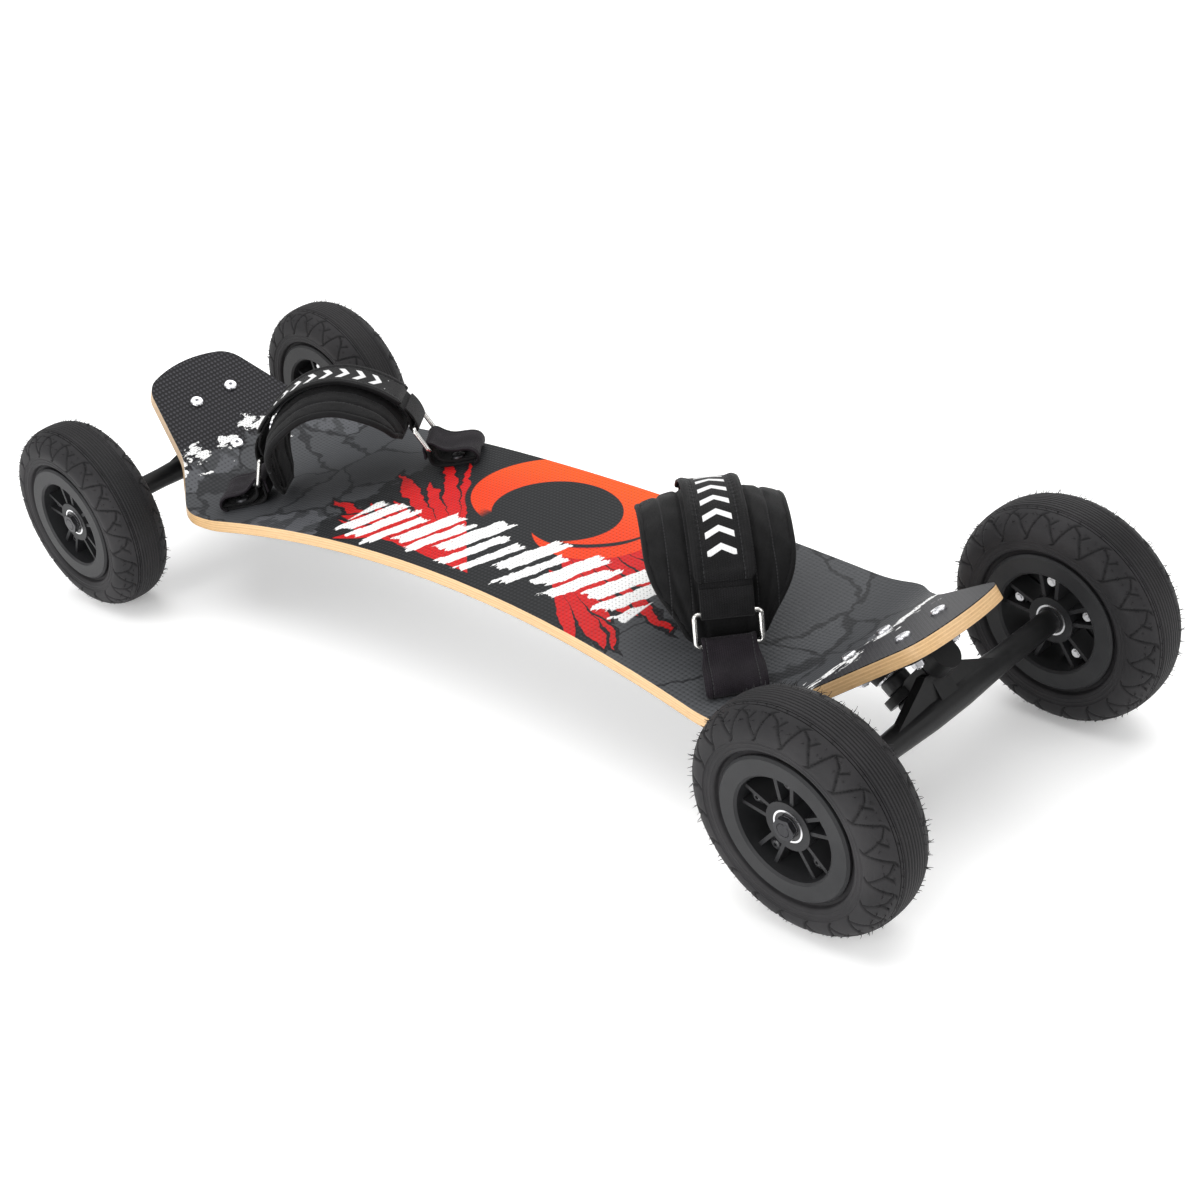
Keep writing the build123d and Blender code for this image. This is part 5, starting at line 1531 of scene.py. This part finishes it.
@dataclass(frozen=True)
class ValveFinish:
    """Tube rubber with a bright valve tip."""

    tip: float = 0.0385

    def build(self) -> bpy.types.Material:
        """Make the material."""
        material, g, bsdf = start_material("tube_rubber_and_valve")
        where = g.add("TexCoord").outputs["Object"]
        away = from_wheel_line(g, where)
        metal = g.invert(g.step(away, self.tip - 0.0002, self.tip + 0.0002))
        thread = g.math("SINE", g.times(away, 2 * math.pi / 0.0008))
        grain = g.place(EFFECTS.grain, Vector=where, Fine=1500.0, Broad=80.0)
        plated = g.mix(grain.outputs["Tone"], (0.84, 0.84, 0.83), (0.7, 0.69, 0.67))
        g.feed(bsdf.inputs["Base Color"], g.mix(metal, (0.018, 0.018, 0.019), plated))
        g.feed(bsdf.inputs["Metallic"], metal)
        g.feed(bsdf.inputs["Roughness"], g.plus(0.26, g.times(grain.outputs["Tone"], 0.3)))
        height = g.plus(grain.outputs["Height"], g.times(g.times(thread, metal), 0.8))
        g.feed(bsdf.inputs["Normal"], g.bump(height, 0.0002, 0.5))
        return material


class CarriedOver:
    """The CAD nodes that keep their shape and get a finish."""

    def __init__(self) -> None:
        """Choose a finish for each group of nodes."""
        zinc = CoatFinish(
            "zinc_plate", (0.80, 0.80, 0.82), (0.62, 0.62, 0.65), 0.24, 1.0,
            fine=2000.0, broad=90.0, depth=0.0001,
        )
        powder = CoatFinish(
            "black_powder_coat", (0.007, 0.007, 0.0075), (0.012, 0.012, 0.0125), 0.36,
            fine=1500.0, depth=0.00022, mark_colour=(0.06, 0.06, 0.062), specular=0.22,
        )
        nylon = CoatFinish(
            "filled_nylon", (0.0145, 0.0148, 0.016), (0.0235, 0.0237, 0.025), 0.42,
            fine=1700.0, depth=0.00016, mark_colour=(0.07, 0.07, 0.072), specular=0.2,
        )
        dark_steel = CoatFinish(
            "blackened_steel", (0.03, 0.03, 0.033), (0.06, 0.06, 0.064), 0.34, 0.8,
            fine=1600.0, depth=0.0001,
        )
        steel = CoatFinish(
            "drawn_steel", (0.58, 0.58, 0.60), (0.42, 0.42, 0.44), 0.28, 1.0,
            fine=900.0, depth=0.0001, brushed=(1.0, 0.05, 1.0),
        )
        urethane = CoatFinish(
            "bushing_urethane", (0.020, 0.020, 0.022), (0.034, 0.034, 0.037), 0.38, fine=800.0, coat=0.15
        )
        acetal = CoatFinish("pivot_acetal", (0.03, 0.03, 0.032), (0.045, 0.045, 0.047), 0.42)
        wire = CoatFinish(
            "nickel_wire", (0.78, 0.77, 0.74), (0.60, 0.59, 0.57), 0.2, 1.0,
            fine=1500.0, broad=70.0, depth=0.00008,
        )
        self.finishes: dict[str, object] = {
            "deck": PlyFinish(),
            "grip_sheet": PrintedGrip(),
            "deck_bolts": zinc,
            "deck_nuts": zinc,
            "strap_nuts": zinc,
            "strap_bolts": dark_steel,
            "baseplate_": powder,
            "hanger_": powder,
            "bushing_": urethane,
            "kingpins": zinc,
            "kingpin_nuts": zinc,
            "cup_washers": zinc,
            "pivot_cups": acetal,
            "d_rings": wire,
            "axle_nuts_": dark_steel,
            "axle_washers_": zinc,
            "axle_spacers_": steel,
            "axle_": dark_steel,
            "inner_races_": dark_steel,
            "wheel_bearings_": BearingFinish(),
            "hub_bolts_": HubBoltFinish(),
            "hub_": nylon,
            "inner_tube_": ValveFinish(),
        }

    def dress(self, nodes: dict[str, bpy.types.Object]) -> None:
        """Put a finish on every node that one is named for."""
        made: dict[str, bpy.types.Material] = {}
        for name in sorted(nodes):
            fitting = [key for key in self.finishes if name.startswith(key)]
            if not fitting:
                continue
            key = max(fitting, key=len)
            if key not in made:
                finish = self.finishes[key]
                same = [k for k in made if self.finishes[k] is finish]
                made[key] = made[same[0]] if same else finish.build()
            slots = nodes[name].material_slots
            for slot in slots:
                slot.material = made[key]
            if not slots:
                nodes[name].data.materials.append(made[key])
            log.info("%s: %s", name, made[key].name)


# ---------------------------------------------------------------- studio
class Softbox(Enum):
    """The studio's soft lights: place, size and power."""

    OVERHEAD = ((-0.4, 0.8, 4.2), 6.0, 150.0)
    LEFT = ((-2.1, -1.3, 1.5), 1.6, 12.0)
    RIGHT = ((2.3, 0.9, 1.3), 1.4, 9.0)
    BACK = ((-0.6, 2.3, 1.6), 1.8, 20.0)
    FRONT = ((0.5, -2.3, 0.75), 2.2, 46.0)


@dataclass
class Studio:
    """A plain pale floor, soft lights and the camera."""

    camera_at: tuple = (1.38077, -1.09184, 1.02774)
    right: tuple = (0.70331, 0.69437, -0.15231)
    up: tuple = (-0.25449, 0.44599, 0.85810)
    forward: tuple = (-0.66376, 0.56475, -0.49038)
    lens: float = 63.65
    aim: tuple = (0.0, 0.0, 0.08)
    floor_size: float = 14.0
    floor_glow: float = 0.22
    surround: float = 0.55

    def floor(self) -> None:
        """A matt paper floor with a faint light of its own."""
        bpy.ops.object.select_all(action="DESELECT")
        bpy.ops.mesh.primitive_plane_add(size=self.floor_size, location=(0.0, 0.0, -0.0002))
        floor = bpy.context.object
        floor.name = "paper_floor"
        material, g, bsdf = start_material("pale_paper")
        where = g.add("TexCoord").outputs["Object"]
        tone = g.noise(where, 3.0, 3.0)
        g.feed(bsdf.inputs["Base Color"], g.mix(tone, (0.93, 0.93, 0.93), (0.96, 0.96, 0.955)))
        g.feed(bsdf.inputs["Roughness"], g.plus(0.8, g.times(tone, 0.1)))
        bsdf.inputs["Emission Color"].default_value = (1.0, 1.0, 1.0, 1.0)
        bsdf.inputs["Emission Strength"].default_value = self.floor_glow
        floor.data.materials.append(material)

    def lights(self) -> None:
        """Soft area lights and an even white surround."""
        for box in Softbox:
            place, size, power = box.value
            lamp = bpy.data.lights.new(box.name.lower(), "AREA")
            lamp.shape, lamp.size, lamp.energy = "DISK", size, power
            obj = bpy.data.objects.new(box.name.lower(), lamp)
            obj.location = place
            obj.rotation_euler = (Vector(self.aim) - Vector(place)).to_track_quat("-Z", "Y").to_euler()
            bpy.context.scene.collection.objects.link(obj)
        world = bpy.data.worlds.new("studio")
        world.use_nodes = True
        background = world.node_tree.nodes["Background"]
        background.inputs["Color"].default_value = (1.0, 1.0, 1.0, 1.0)
        background.inputs["Strength"].default_value = self.surround
        bpy.context.scene.world = world

    def camera(self) -> None:
        """The camera, looking down on the board's front right."""
        data = bpy.data.cameras.new("camera")
        data.lens, data.sensor_width = self.lens, 36.0
        obj = bpy.data.objects.new("camera", data)
        turn = Matrix((self.right, self.up, [-v for v in self.forward])).transposed()
        obj.matrix_world = Matrix.Translation(self.camera_at) @ turn.to_4x4()
        bpy.context.scene.collection.objects.link(obj)
        bpy.context.scene.camera = obj

    def build(self) -> None:
        """Make the floor, the lights and the camera."""
        self.floor()
        self.lights()
        self.camera()
        bpy.context.scene.view_settings.view_transform = "Standard"


def main() -> None:
    """Build and dress the board, then the studio."""
    logging.basicConfig(level=logging.INFO, format="%(name)s: %(message)s")
    CarriedOver().dress(frame["nodes"])
    Wheels().build()
    FootStrap().build()
    Studio().build()


if __name__ == "__main__":
    main()
